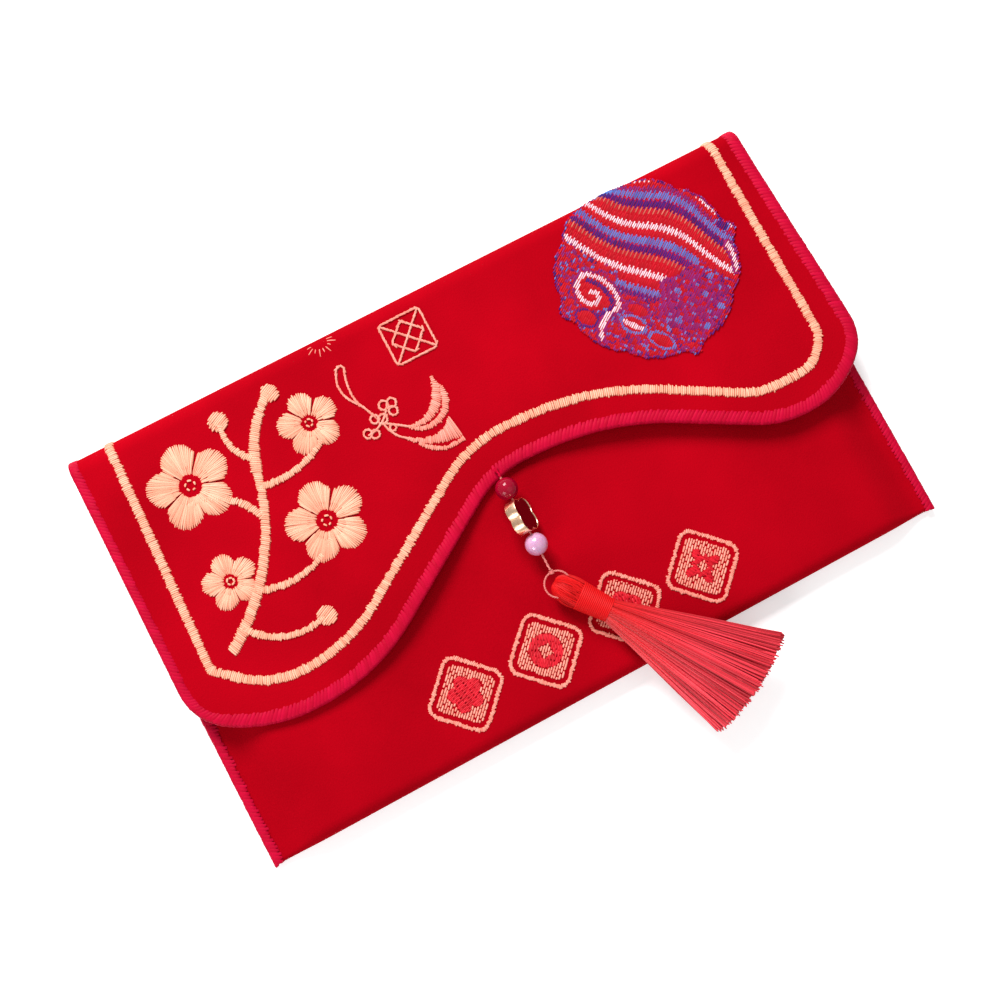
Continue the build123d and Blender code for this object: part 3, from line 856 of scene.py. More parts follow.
def rows_of_stitches(loops, angle, pitch, length):
    """Parallel stitches that fill the space inside closed loops, broken up like brickwork."""
    turn = math.radians(angle)
    loops = [turned(loop, -turn) for loop in loops]
    levels = np.concatenate(loops)[:, 1]
    pairs = []
    for row, level in enumerate(np.arange(levels.min() + pitch / 2, levels.max(), pitch)):
        cuts = []
        for loop in loops:
            a, b = loop, np.roll(loop, -1, axis=0)
            hit = (a[:, 1] > level) != (b[:, 1] > level)
            cuts += list(a[hit, 0] + (level - a[hit, 1]) / (b - a)[hit, 1] * (b - a)[hit, 0])
        cuts.sort()
        for start, end in zip(cuts[::2], cuts[1::2]):
            breaks = np.arange(math.floor(start / length), end / length + 1) * length + row % 2 * length / 2
            breaks = breaks[(breaks > start + shortest_stitch) & (breaks < end - shortest_stitch)]
            marks = [start, *breaks, end]
            pairs += [[(a, level), (b, level)] for a, b in zip(marks, marks[1:])]
    return turned(np.array(pairs), turn)


print("stitches are", stitch_pitch, "mm apart")

# %% [markdown]
# One more helper lifts each pair into a low arch on the cloth, with both ends sunk into the pile. No
# hand or machine is exact, so every stitch is a little off in place, length and height.

# %% Sew pairs of points onto a surface
arch_share = np.array([0.0, 0.12, 0.5, 0.88, 1.0])
arch_rise = np.array([-0.3, 0.8, 1.0, 0.8, -0.3])
arch_width = np.array([0.5, 0.9, 1.0, 0.9, 0.5])
arch_form, arch_sides = (1.0, 0.8), 5
stitch_radius = 0.27
stitch_height = 0.42


def sewn(
    name, pairs, surface, finishes, slot, height=stitch_height, radius=stitch_radius, kinds=None, grow=0.05
):
    """Stitches between pairs of points, on the surface that a place function gives."""
    reach = unit(pairs[:, 1] - pairs[:, 0])[:, None] * [[-1.0], [1.0]]
    pairs = pairs + dice.normal(0, 0.04, pairs.shape) + reach * dice.normal(grow, 0.13, (len(pairs), 2, 1))
    height = height * dice.uniform(0.8, 1.15, (len(pairs), 1))
    flat_path = pairs[:, :1] + (pairs[:, 1:] - pairs[:, :1]) * arch_share[None, :, None]
    x, s = flat_path[..., 0], flat_path[..., 1]
    paths = surface(x, s, -height * arch_rise + 0.1)
    ups = unit(surface(x, s, -1.0) - surface(x, s, 0.0))
    return threads(name, paths, radius * arch_width, ups, finishes, slot, arch_form, arch_sides, kinds)


def peach_stitches(name, pairs, finish, *form):
    """Stitches of one peach thread on the flap."""
    return sewn(name, pairs, cover, [finish], "peach_thread", *form)


print("stitches stand", stitch_height, "mm high")

# %% [markdown]
# ## The border
# A line of peach satin stitch runs round the flap inside its edge and over the fold at both ends. The
# solid border has an outer and an inner outline. Each stitch goes from a point of the outer one to the
# nearest point of the inner one.

# %% Sew the border
border_loop = top_loops("gold_border")[0]
outer_line = resampled(from_fold_to_fold(border_loop), stitch_pitch)
border_ends = np.sort(border_loop[np.abs(border_loop[:, 1] - fold_line) < near][:, 0])
start = int(np.argmin(np.linalg.norm(border_loop - (border_ends[2], fold_line), axis=1)))
walk = np.roll(border_loop, -start, axis=0)
stop = int(np.argmin(np.linalg.norm(walk - (border_ends[1], fold_line), axis=1)))
inner_line = resampled(walk[: stop + 1], 0.1)
nearest = np.argmin(np.linalg.norm(outer_line[:, None] - inner_line[None], axis=2), axis=1)
border_pairs = np.stack([outer_line, inner_line[nearest]], 1)
border = peach_stitches("border_stitches", border_pairs, peach_thread)
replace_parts(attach(border, "flap"), "gold_border")

over_top = np.arange(fold_line + stitch_pitch / 2, fold_line + 0.75 * fold_run, stitch_pitch)
both_ends = border_ends.reshape(2, 2)
over_pairs = np.array([[(outer, s), (inner, s)] for outer, inner in both_ends for s in over_top])
bend_over_fold(peach_stitches("border_over_fold", over_pairs, peach_thread))
print("stitches in the border:", len(border_pairs) + len(over_pairs))

# %% [markdown]
# ## A plum branch
# The left of the flap carries a branch of plum blossom. Petals are fans of stitches, long and short by
# turns, which start from a small open eye. Boughs and twigs are columns that grow thinner.

# %% Sew the plum branch
branch_middle = np.array([-half_width + 39.5, fold_line + fold_radius - 35.5])
boughs = [((-24, -27), (-6, -9), (2, 11)), ((2, 11), (6, 20), (13.5, 28))]
twigs = [
    ((-12, -16), (0, -18), (11, -13)),
    ((-2, 0), (-8, 8), (-17, 11)),
    ((1, 7), (12, 7), (21, 11)),
    ((-19, -23), (-10, -30), (0, -30)),
    ((3, 14), (-1, 20), (-1, 26)),
]
blossoms = [((-14.5, 15.5), 11.5), ((12, -8.5), 11.0), ((19.5, 16), 8.5), ((-16.5, -11), 7.5)]
buds = [((14, 27.6), 2.4), ((1, -30), 2.6), ((-1, 27), 2.6)]
petal_place, petal_size, petal_count = 0.6, 0.4, 5
petal_gap = 0.28
eye_short, eye_long = 0.40, 0.24
branch_height = 0.5


def blossom(middle, reach):
    """Fans of stitches for five round petals."""
    turn = np.arange(0, 2 * math.pi, stitch_pitch / (0.85 * reach))
    sector = 2 * math.pi / petal_count
    off = (turn - math.pi / 2 + sector / 2) % sector - sector / 2
    rim = petal_place * np.cos(off) + np.sqrt(petal_size**2 - (petal_place * np.sin(off)) ** 2)
    kept = np.abs(off) < sector / 2 - petal_gap / (petal_place * reach)
    eye = np.where(np.arange(len(turn)) % 2, eye_long, eye_short)
    way = compass(turn)
    pairs = np.stack([way * (reach * eye)[:, None], way * (reach * rim)[:, None]], 1)
    return middle + pairs[kept]


def eye_knots(middle, reach):
    """Small crossed stitches in the eye of a blossom."""
    way = compass(np.arange(petal_count) * 2 * math.pi / petal_count)
    place, lean = 0.11 * reach * way, 0.35 * leftward(way)
    return middle + np.stack([place - lean, place + lean], 1)


branch = [column(bow(*line), (3.0, 2.2)) for line in boughs]
branch += [column(bow(*line), (1.9, 1.3)) for line in twigs]
for middle, reach in blossoms:
    branch += [blossom(np.array(middle), reach), eye_knots(np.array(middle), reach)]
for middle, reach in buds:
    disc = np.array(middle) + reach * compass(np.arange(40) / 20 * math.pi)
    branch.append(rows_of_stitches([disc], 25, stitch_pitch, 9.0))
branch_pairs = np.concatenate(branch) + branch_middle
plum = peach_stitches("plum_branch_stitches", branch_pairs, peach_thread, branch_height)
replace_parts(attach(plum, "flap"), "plum_branch")
print("stitches in the plum branch:", len(branch_pairs))

# %% [markdown]
# ## A knot with two tassels
# Beside the branch a cord hangs in a long loop, is tied in small rings and ends in two sweeping
# tassels. Cord and rings are stems. The tassels are columns that swell on the way.

# %% Sew the knot ornament
knot_middle = np.array([-half_width + 75.5, fold_line + fold_radius - 26.5])
knot_rings = [
    (2.5, 2.2, 1.2),
    (4.6, 1.9, 1.2),
    (4.1, -0.2, 1.1),
    (-1.2, 0.0, 1.1),
    (0.6, -0.9, 1.2),
    (-4.5, -2.6, 1.1),
    (-2.8, -3.5, 1.1),
    (2.0, -4.1, 0.8),
]
knot_cords = [
    ((-3.1, 5.6), (-5.6, 11.5), (-3.8, 16.3)),
    ((-3.1, 5.6), (-3.4, 10.6), (-2.2, 15.2)),
    ((-3.8, 16.3), (-2.7, 16.5), (-2.2, 15.2)),
    ((-3.1, 5.6), (-2.0, 3.4), (-1.0, 1.0)),
    ((-3.8, -3.0), (-0.4, -1.8), (2.6, 1.0)),
    ((0.6, -2.0), (3.2, -3.9), (6.2, -6.0)),
    ((0.4, -2.6), (1.8, -6.0), (4.4, -8.6)),
]
sweeps = [
    (((5.9, -5.9), (14.4, -3.8), (16.8, 3.1)), (0.7, 1.2, 2.0, 2.6, 2.9, 2.0, 0.4)),
    (((6.4, -6.4), (14.8, -7.0), (17.6, 0.6)), (0.6, 1.2, 1.4, 1.6, 1.8, 1.7, 0.5)),
    (((4.2, -8.5), (10.6, -11.8), (16.4, -11.2)), (0.7, 1.3, 1.9, 2.6, 4.0, 6.6)),
    (((6.2, -10.9), (10.0, -14.3), (16.8, -14.9)), (0.8, 0.9, 1.0, 1.0)),
]
round_line = compass(np.linspace(0, 2 * math.pi, 41))
ring_stem = {"pitch": 0.7, "length": 1.0, "lean": 0.1}
knot = [stem(np.array([x, y]) + reach * round_line, **ring_stem) for x, y, reach in knot_rings]
knot += [stem(bow(*line)) for line in knot_cords]
knot += [column(bow(*line), width) for line, width in sweeps]
knot_pairs = np.concatenate(knot) + knot_middle
ornament = peach_stitches("knot_ornament_stitches", knot_pairs, rosy_peach)
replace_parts(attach(ornament, "flap"), "knot_ornament")
print("stitches in the knot:", len(knot_pairs))

# %% [markdown]
# ## Lattice stamp and sparkle
# The square stamp holds a plain lattice, and a few short stitches sparkle on the fold.

# %% Sew the stamp and the sparkle
stamp_low, stamp_high = box_mm("lattice_stamp")
stamp_middle, stamp_half = (stamp_low + stamp_high)[:2] / 2, (stamp_high - stamp_low)[0] / 2 - 0.45


def rounded_square(half, round_off, turn=0.0):
    """A closed line round a square with round corners."""
    corner = half - round_off + round_off * compass(np.linspace(0, math.pi / 2, 9))
    line = np.concatenate([turned(corner, quarter * math.pi / 2) for quarter in range(4)])
    return turned(np.concatenate([line, line[:1]]), turn)


inner_half = stamp_half - 0.8
lattice = [[(-1, -1), (1, 1)], [(-1, 1), (1, -1)]]
stamp = [stem(rounded_square(stamp_half, 1.2))]
stamp += [stem(inner_half * np.array(line, float)) for line in lattice]
stamp.append(stem(rounded_square(0.45 * inner_half * math.sqrt(2), 0.3, math.pi / 4)))
stamp_pairs = np.concatenate(stamp) + stamp_middle
lattice_stamp = peach_stitches("lattice_stamp_stitches", stamp_pairs, rosy_peach)
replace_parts(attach(lattice_stamp, "flap"), "lattice_stamp")

sparkle_middle = np.array([-26.6, fold_line + 3.4])
rays = compass(np.radians(np.arange(-168, 0, 20)))
ray_start, ray_height, ray_radius = 2.4, 0.2, 0.13
ray_ends = np.where(np.arange(len(rays)) % 2, 4.6, 3.6)[:, None]
sparkle_pairs = sparkle_middle + np.stack([rays * ray_start, rays * ray_ends], 1)
bend_over_fold(peach_stitches("fold_sparkle", sparkle_pairs, rosy_peach, ray_height, ray_radius))
print("stitches in the stamp:", len(stamp_pairs), "and in the sparkle:", len(sparkle_pairs))

# %% [markdown]
# ## The brocade patch
# A round piece of brocade is sewn on the right, with a scalloped edge that has a small point on each
# side. Its threads all run one way. What changes is their colour: wave bands sweep across it, a cloud
# curl sits at its left and a mottled blossom at its lower right. First come the places of these motifs,
# measured from the patch's middle, and the shares of colour in its mottled parts.

# %% Lay out the patch
patch_low, patch_high = box_mm("round_patch")
patch_middle = np.array([(patch_low + patch_high)[0] / 2, patch_low[1] + (patch_high - patch_low)[0] / 2])
patch_reach = (patch_high - patch_low)[0] / 2
patch_names = list(patch_colours)
flow_turn = math.radians(-52)
weave_angle = math.radians(34)
weave_pitch = 0.54
wave_bands = [
    (-8.4, "red"), (-7.2, "navy"), (-5.4, "light_blue"), (-2.9, "red"), (-1.1, "white"), (1.2, "red"),
    (3.0, "rust"), (5.1, "navy"), (7.4, "light_blue"), (9.3, "red"), (11.0, "white"), (13.0, "red"),
    (14.8, "rust"), (17.0, "navy"), (19.2, "light_blue"), (20.4, "purple"), (21.8, "red"), (23.2, "white"),
]
cloud_cells = [
    (1.4, -11.8, 3.8, 2.0, "purple", "red", 0.0),
    (1.8, -15.8, 4.0, 2.5, "light_blue", "red", 0.3),
    (10.2, -16.8, 4.2, 2.1, "light_blue", "red", 0.0),
    (-10.0, -19.2, 3.6, 2.6, "navy", "red", 0.0),
    (12.6, 19.0, 2.3, 1.8, "light_blue", "navy", 0.0),
]
cell_wall = 0.74
cloud_level, cloud_floor = -2.9, -8.4
band_span = (-7.0, 5.5)
right_cloud, right_level = 11.0, 7.6
flower_middle, flower_reach = (5.6, -13.2), 9.3
flower_dots = [(9.3, -12.7), (-0.4, -15.8), (3.4, -8.6), (5.5, -20.6), (11.4, -17.4), (13.0, -9.0)]
dot_reach = 1.0
white_lines = [
    ((-20.5, -10.5), (-17.4, -6.6), (-12.4, -5.4)),
    ((-12.4, -5.4), (-11.9, 1.2), (-16.3, 7.0)),
    ((-16.3, 7.0), (-20.2, 2.6), (-17.8, -1.6)),
    ((-17.8, -1.6), (-15.8, -0.4), (-17.0, 1.7)),
    ((21.4, -3.4), (21.2, -7.2), (20.2, -11.0)),
]
navy_lines = [((-17.2, -4.4), (-15.2, -5.2), (-13.8, -4.2)), ((-13.8, -4.2), (-13.5, 0.9), (-16.2, 5.0))]
curl_middle, curl_reach, curl_halo = (-16.2, 1.2), 5.0, 1.3
rim_depth = 0.6
ground_mix = [(0.50, "red"), (0.78, "purple"), (0.87, "navy"), (1.0, "light_blue")]
petal_mix = [(0.78, "purple"), (0.90, "red"), (0.95, "navy"), (1.0, "light_blue")]
rim_mix = [(0.28, "navy"), (0.68, "purple"), (0.76, "light_blue"), (1.0, "red")]
grain_size = 0.7
speckle_seed = (12.9898, 78.233, 43758.5453)
print("patch is", round(2 * patch_reach, 1), "mm across")

# %% [markdown]
# Small helpers come first: a steady random value, a pick from a mix of colours, a spot of one colour,
# the patch's rim, and the distance to a line.

# %% Helpers for the patch's colours


def colour_index(name):
    return patch_names.index(name)


def speckle(x, y, size):
    """A steady random value for each small square of the cloth."""
    a, b, c = speckle_seed
    value = np.sin(np.floor(x / size) * a + np.floor(y / size) * b) * c
    return value - np.floor(value)


def mixed(value, shares):
    """Colours picked by a random value, in the given shares."""
    colour = np.full(value.shape, colour_index(shares[-1][1]))
    for share, name in reversed(shares):
        colour = np.where(value < share, colour_index(name), colour)
    return colour


def painted(colour, spot, name):
    """The colours, with one thread wherever the spot is."""
    return np.where(spot, colour_index(name), colour)


def patch_rim(turn):
    """How far the patch reaches in a direction: scallops, with a point on each side."""
    point = np.abs((turn + math.pi / 4) % (math.pi / 2) - math.pi / 4)
    scallop = 1.6 * np.sqrt(np.abs(np.sin(4 * turn))) + 0.25 * np.abs(np.sin(17 * turn))
    lean = 0.9 * np.cos(turn - 2.4)
    return patch_reach - 3.7 + lean + scallop + 3.1 * np.exp(-((point / 0.085) ** 2))


def away(x, y, lines):
    """How far places are from the nearest of some bows."""
    marks = np.concatenate([bow(*line) for line in lines])
    return np.min(np.hypot(x[:, None] - marks[:, 0], y[:, None] - marks[:, 1]), axis=1)


print("threads for the patch:", ", ".join(patch_names))

# %% [markdown]
# One function gives the colour at a place. It starts with the bands and paints the other motifs over
# them, one by one. Neighbouring strands differ a little, so that no motif has a ruled edge.

# %% Colour the patch


def patch_colour(x, y):
    """The index of the thread's colour at a place measured from the patch's middle."""
    along = x * math.cos(flow_turn) + y * math.sin(flow_turn)
    across = -x * math.sin(flow_turn) + y * math.cos(flow_turn)
    swing = (1.1 + 0.06 * across) * np.cos(0.18 * (along - 6 + 0.35 * across))
    strand = np.round((y * math.cos(weave_angle) - x * math.sin(weave_angle)) / weave_pitch) % 2
    level = across - swing + 0.5 * (strand - 0.5)
    tops = [top for top, _ in wave_bands]
    names = np.array([colour_index(name) for _, name in wave_bands] + [colour_index("red")])
    colour = names[np.searchsorted(tops, level)]
    colour = painted(colour, (colour == colour_index("rust")) & (strand > 0), "red")
    grain = speckle(along, across, grain_size)
    beside = (along < band_span[0]) | (along > band_span[1]) | (level < cloud_floor)
    cloud = (level < cloud_level) & beside | (level < right_level) & (along > right_cloud)
    colour = np.where(cloud, mixed(grain, ground_mix), colour)
    for cell_along, cell_across, long, high, wall, filling, bar in cloud_cells:
        rise = (across - cell_across) / high
        out = np.hypot((along - cell_along) / long, rise)
        colour = painted(colour, out < 1, wall)
        colour = painted(colour, out < cell_wall, filling)
        colour = painted(colour, (out < cell_wall) & (np.abs(rise + 0.1) < bar), "white")
    off_white, off_navy = away(x, y, white_lines), away(x, y, navy_lines)
    colour = painted(colour, off_white < curl_halo, "purple")
    colour = painted(colour, np.hypot(x - curl_middle[0], y - curl_middle[1]) < curl_reach, "red")
    colour = painted(colour, off_navy < np.where(strand > 0, 0.8, 0.5), "navy")
    colour = painted(colour, off_white < np.where(strand > 0, 0.85, 0.5), "white")
    flower_x, flower_y = x - flower_middle[0], y - flower_middle[1]
    petals = flower_reach + 0.9 * np.cos(6 * np.arctan2(flower_y, flower_x))
    colour = np.where(np.hypot(flower_x, flower_y) < petals, mixed(grain, petal_mix), colour)
    for dot_x, dot_y in flower_dots:
        colour = painted(colour, np.hypot(x - dot_x, y - dot_y) < dot_reach, "light_blue")
    rim = np.hypot(x, y) > patch_rim(np.arctan2(y, x)) - rim_depth
    return np.where(rim, mixed(grain, rim_mix), colour)


print("wave bands in the patch:", len(wave_bands), "and cloud cells:", len(cloud_cells))

# %% [markdown]
# Each thread is cut into stitches wherever its colour changes. Stitches that lie past the fold line are
# a piece of their own.

# %% Weave the patch
weave_look = 0.14
weave_longest = 2.4
weave_overlap = 0.1
weave_form = (0.3, 0.2)
backing_height = 0.28


def patch_stitches():
    """Pairs of points measured from the patch's middle, and the colour of each stitch."""
    way = np.array([math.cos(weave_angle), math.sin(weave_angle)])
    side = leftward(way)
    marks = np.arange(-patch_reach, patch_reach, weave_look)
    pairs, colours = [], []
    for level in np.arange(-patch_reach, patch_reach, weave_pitch):
        points = marks[:, None] * way + level * side
        within = np.hypot(*points.T) < patch_rim(np.arctan2(points[:, 1], points[:, 0]))
        colour = np.where(within, patch_colour(*points.T), -1)
        changes = np.flatnonzero(np.diff(colour)) + 1
        for run in np.split(np.arange(len(marks)), changes):
            if colour[run[0]] < 0 or len(run) < 2:
                continue
            parts = max(1, round(len(run) * weave_look / weave_longest))
            for part in np.array_split(run, parts):
                pairs.append([points[part[0]] - weave_overlap * way, points[part[-1]] + weave_overlap * way])
                colours.append(colour[run[0]])
    return np.array(pairs), np.array(colours)


patch_pairs, patch_kinds = patch_stitches()
patch_pairs = patch_pairs + patch_middle
wraps = patch_pairs[:, :, 1].mean(1) > fold_line


def on_backing(x, s, depth):
    return cover(x, s, depth - backing_height)


for name, part in (("patch_stitches", ~wraps), ("patch_over_fold", wraps)):
    pairs, kinds = patch_pairs[part], patch_kinds[part]
    woven = sewn(name, pairs, on_backing, patch_threads, "patch_thread", *weave_form, kinds, 0.0)
    if name == "patch_stitches":
        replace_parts(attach(woven, "flap"), "round_patch")
    else:
        bend_over_fold(woven)
print("stitches in the patch:", len(patch_pairs))

# %% [markdown]
# A thin backing lies under the stitches, so that no velvet shows between them. It is a disc made of
# rings that all follow the rim.

# %% Lay the backing
backing_turns = np.linspace(0, 2 * math.pi, 181)[:-1]
backing_rim = compass(backing_turns) * (patch_rim(backing_turns) - 0.25)[:, None]
ring_shares = np.linspace(0.04, 1, 24)
backing_flat = np.concatenate([share * backing_rim for share in ring_shares]) + patch_middle
backing_faces = ring_faces(len(ring_shares), len(backing_turns))
backing_faces = [[face[0], *face[:0:-1]] for face in backing_faces] + [list(range(len(backing_turns)))]
backing_sides = [cover(*backing_flat.T, depth) for depth in (-backing_height, 0.05)]
backing_mesh = closed_sheet(*backing_sides, backing_faces)
bend_over_fold(piece("patch_backing", *backing_mesh, [patch_threads[0]], "patch_thread"))
print("rings in the backing:", len(ring_shares))

# %% [markdown]
# ## Diamond seals
# Four diamonds stand in a row on the front. Each has a stitched outline, a field of short upright
# stitches with gaps between the rows, and a red figure. The field and the figure are filled from the
# solids' own outlines.

# %% Sew the seals
seal_outline = 1.2
seal_round = 3.2
outline_pitch, outline_slant, outline_height = 0.46, 0.35, 0.34
field_pitch, field_length, field_form = 0.66, 1.9, (0.3, 0.29)
figure_pitch, figure_length, figure_form = 0.4, 3.0, (0.4, 0.27)
for number in range(1, 5):
    low, high = box_mm(f"seal_frame_{number}")
    middle = (low + high)[:2] / 2
    half = (high - low)[0] / 2
    side_half = (half + seal_round * (math.sqrt(2) - 1)) / math.sqrt(2) - seal_outline / 2
    line = rounded_square(side_half, seal_round - seal_outline / 2, math.pi / 4) + middle
    pairs = column(line, (seal_outline - 0.4,), outline_pitch, outline_slant)
    edging = sewn(f"seal_{number}_outline", pairs, front_at, [rosy_peach], "peach_thread", outline_height)
    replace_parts(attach(edging, "pocket"), f"seal_frame_{number}")
    rows = rows_of_stitches(top_loops(f"seal_fill_{number}"), 45, field_pitch, field_length)
    look = ([rosy_peach], "peach_thread", *field_form, None, -0.12)
    field = sewn(f"seal_{number}_field", rows, front_at, *look)
    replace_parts(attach(field, "pocket"), f"seal_fill_{number}")
    loops, angle = top_loops(f"seal_motif_{number}"), -20 + 35 * number
    rows = rows_of_stitches(loops, angle, figure_pitch, figure_length)
    figure = sewn(f"seal_{number}_figure", rows, front_at, [seal_red], "red_thread", *figure_form)
    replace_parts(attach(figure, "pocket"), f"seal_motif_{number}")
print("four seals sewn")

# %% [markdown]
# ## Pendant thread, knot and loop
# The pendant hangs on a twisted thread. A twisted thread is two strands that wind round one line, so
# a helper winds them round any path. The same helper makes the loop that carries the tassel. Above the
# first bead the thread is crimson, like the edge that it is sewn to.

# %% Twist the threads


def spun(name, path, body, node, ply_radius, lay, twists):
    """Two strands that wind round a path."""
    tangent = unit(np.gradient(path, axis=0))
    steep = np.abs(tangent[:, 2:]) > 0.9
    side = unit(np.cross(tangent, np.where(steep, [[1.0, 0, 0]], [[0, 0, 1.0]])))
    rise = np.cross(side, tangent)
    along = np.concatenate([[0], np.cumsum(np.linalg.norm(np.diff(path, axis=0), axis=1))])
    turn = along[:, None] / along[-1] * 2 * math.pi * twists
    plies = [path + lay * (side * np.cos(phase) + rise * np.sin(phase)) for phase in (turn, turn + math.pi)]
    thread = threads(name, np.stack(plies), ply_radius, side, [rose_thread], "pendant_thread", sides=6)
    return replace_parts(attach(thread, body), node)


thread_low = box_mm("bead_thread")[0]
bend_share = np.linspace(0, 1, 14)[:, None]
bend_corner = np.array([string_x, anchor[1] - 0.9, string_z])
bend_end = np.array([string_x, anchor[1] - 2.2, string_z])
bend = (1 - bend_share) ** 2 * anchor + 2 * bend_share * (1 - bend_share) * bend_corner
bend = bend + bend_share**2 * bend_end
straight = np.linspace(bend_end, (string_x, thread_low[1], string_z), 90)[1:]
thread_path = np.concatenate([bend, straight])
thread_twist = {"ply_radius": 0.16, "lay": 0.16, "twists": 12}
spun("pendant_thread", thread_path, "pendant_string", "bead_thread", **thread_twist)
thread_mesh = bpy.data.objects["pendant_thread"].data
thread_mesh.materials.append(crimson_thread)
for face in thread_mesh.polygons:
    face.material_index = int(face.center.y > bend_end[1] * MM)

loop_reach = np.linalg.norm(loop_knot - loop_middle)
loop_turn = np.linspace(0, 2 * math.pi, 121)
loop_path = loop_middle + loop_reach * np.stack([np.sin(loop_turn), np.cos(loop_turn), 0 * loop_turn], -1)
loop_twist = {"ply_radius": 0.15, "lay": 0.11, "twists": 18}
spun("tassel_thread_loop", loop_path, "thread_loop", "tassel_loop", **loop_twist)
print("loop", round(2 * loop_reach, 1), "mm across")

# %% [markdown]
# Two small knots are one thread each, in three turns. One ties the loop to the pendant's thread, and
# the other sews that thread to the flap's edge.

# %% Tie the knots
knot_turn = np.linspace(0, 6 * math.pi, 90)
knot_run = np.linspace(-1, 1, 90)


def tied(name, path, radius, up, finish):
    return threads(name, path[None], radius, up, [finish], "pendant_thread", sides=6)


tie_wind = np.stack([0.42 * np.cos(knot_turn), 0.45 * knot_run, 0.42 * np.sin(knot_turn)], -1)
loop_tie = tied("loop_tie", loop_knot + tie_wind, 0.2, (0, 1.0, 0), rose_thread)
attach(loop_tie, "thread_loop")
sewn_wind = np.stack([0.5 * knot_run, 0.5 * np.cos(knot_turn), 0.5 * np.sin(knot_turn) - 0.2], -1)
sewn_knot = tied("sewn_knot", anchor + sewn_wind, 0.24, (1.0, 0, 0), crimson_thread)
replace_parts(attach(sewn_knot, "pendant_knot"), "anchor_knot")
print("pendant thread:", round(float(anchor[1] - thread_low[1]), 1), "mm")

# %% [markdown]
# ## Beads
# A bead is turned on a lathe: a profile goes once round the thread's line. The profile is a half
# circle that ends in a short rounded mouth at the bore, which is what tells a bead from a ball.

# %% Turn the beads
bore = 0.36
mouth_round = 0.3


def bead(name, node, body, finish, slot):
    low, high = box_mm(node)
    middle, reach = (low + high) / 2, (high - low)[0] / 2
    end = math.asin((bore + mouth_round) / reach)
    sweep = np.linspace(end, math.pi - end, 33)
    profile = [(reach * math.sin(turn), reach * math.cos(turn)) for turn in sweep]
    lip = reach * math.cos(end) - 0.35 * mouth_round
    profile = [(bore, lip - mouth_round), (bore + 0.25 * mouth_round, lip)] + profile
    profile += [(bore + 0.25 * mouth_round, -lip), (bore, mouth_round - lip)]
    around = np.linspace(0, 2 * math.pi, 65)[:-1]
    points = [
        (middle[0] + r * math.cos(turn), middle[1] + h, middle[2] + r * math.sin(turn))
        for r, h in profile
        for turn in around
    ]
    ball = piece(name, points, ring_faces(len(profile), len(around), True), [finish], slot)
    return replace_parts(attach(ball, body), node)


bead("red_glass_bead", "red_bead", "first_bead", bead_glass, "red_bead")
bead("pale_pearl", "pearl_bead", "second_bead", pearl_skin, "pearl")
print("beads turned")

# %% [markdown]
# ## The four-lobed charm
# The charm is a thick four-lobed plate of gold with dark enamel let into both faces. Its outline is a
# simple formula: in any direction it is the far side of the nearest lobe. Rings of that outline, drawn
# in by more and more, are stacked into a rim with rounded edges and a domed face.

# %% Build the charm
charm_lobe, charm_offset = 2.9, 1.6
charm_half = 1.55
charm_tilt = math.radians(60)
charm_wall = 0.2
charm_middle = joint_mm("charm_spin")
charm_turns = np.linspace(0, 2 * math.pi, 145)[:-1]


def charm_line(inset):
    """The charm's outline, drawn in by inset."""
    reach, lobe = charm_offset * math.sqrt(2), charm_lobe - inset
    off = charm_turns % (math.pi / 2) - math.pi / 4
    rim = reach * np.cos(off) + np.sqrt(np.maximum(lobe**2 - (reach * np.sin(off)) ** 2, 0))
    flat_side = charm_offset / np.maximum(np.abs(np.cos(charm_turns)), np.abs(np.sin(charm_turns)))
    valid = lobe > np.abs(reach * np.sin(off))
    length = np.where(valid, np.maximum(rim, flat_side), flat_side)
    return length[:, None] * compass(charm_turns)


def charm_rings(name, rings, finish, slot, closed):
    """A piece from rings of (inset, share of the outline, height)."""
    points = []
    for inset, share, height in rings:
        flat_ring = share * charm_line(inset)
        points.append(np.column_stack([flat_ring, np.full(len(flat_ring), height)]))
    points = np.concatenate(points)
    x = points[:, 0] * math.cos(charm_tilt) + points[:, 2] * math.sin(charm_tilt)
    z = -points[:, 0] * math.sin(charm_tilt) + points[:, 2] * math.cos(charm_tilt)
    faces = ring_faces(len(rings), len(charm_turns), closed)
    if not closed:
        faces += end_caps(len(rings), len(charm_turns))
    thing = piece(name, charm_middle + np.stack([x, points[:, 1], z], -1), faces, [finish], slot)
    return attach(thing, "charm")


step_down = charm_half - 0.6
gold_profile = [
    (charm_wall, 1, -step_down), (charm_wall, 1, -charm_half + 0.08), (charm_wall - 0.06, 1, -charm_half),
    (0.08, 1, -charm_half), (0.03, 1, -charm_half + 0.04), (0, 1, -charm_half + 0.14),
    (0, 1, charm_half - 0.14), (0.03, 1, charm_half - 0.04), (0.08, 1, charm_half),
    (charm_wall - 0.06, 1, charm_half), (charm_wall, 1, charm_half - 0.08), (charm_wall, 1, step_down),
]
rim = charm_rings("charm_gold_rim", gold_profile, gold_plate, "gold_metal", True)
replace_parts(rim, "charm_rim")
dome = [(0.1, 0.05), (1.0, 0.05)]
for share in (1.0, 0.93, 0.8, 0.6, 0.35, 0.1):
    dome.append((share, charm_half - 0.16 + 0.14 * math.sqrt(1 - share**2)))
for name, side in (("front", 1), ("back", -1)):
    rings = [(charm_wall + 0.02, share, side * height) for share, height in dome[::side]]
    face = charm_rings(f"charm_{name}_dome", rings, dark_enamel, "enamel", False)
    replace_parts(face, f"charm_{name}_enamel")
print("charm is", round(2 * (charm_lobe + charm_offset), 1), "mm across")

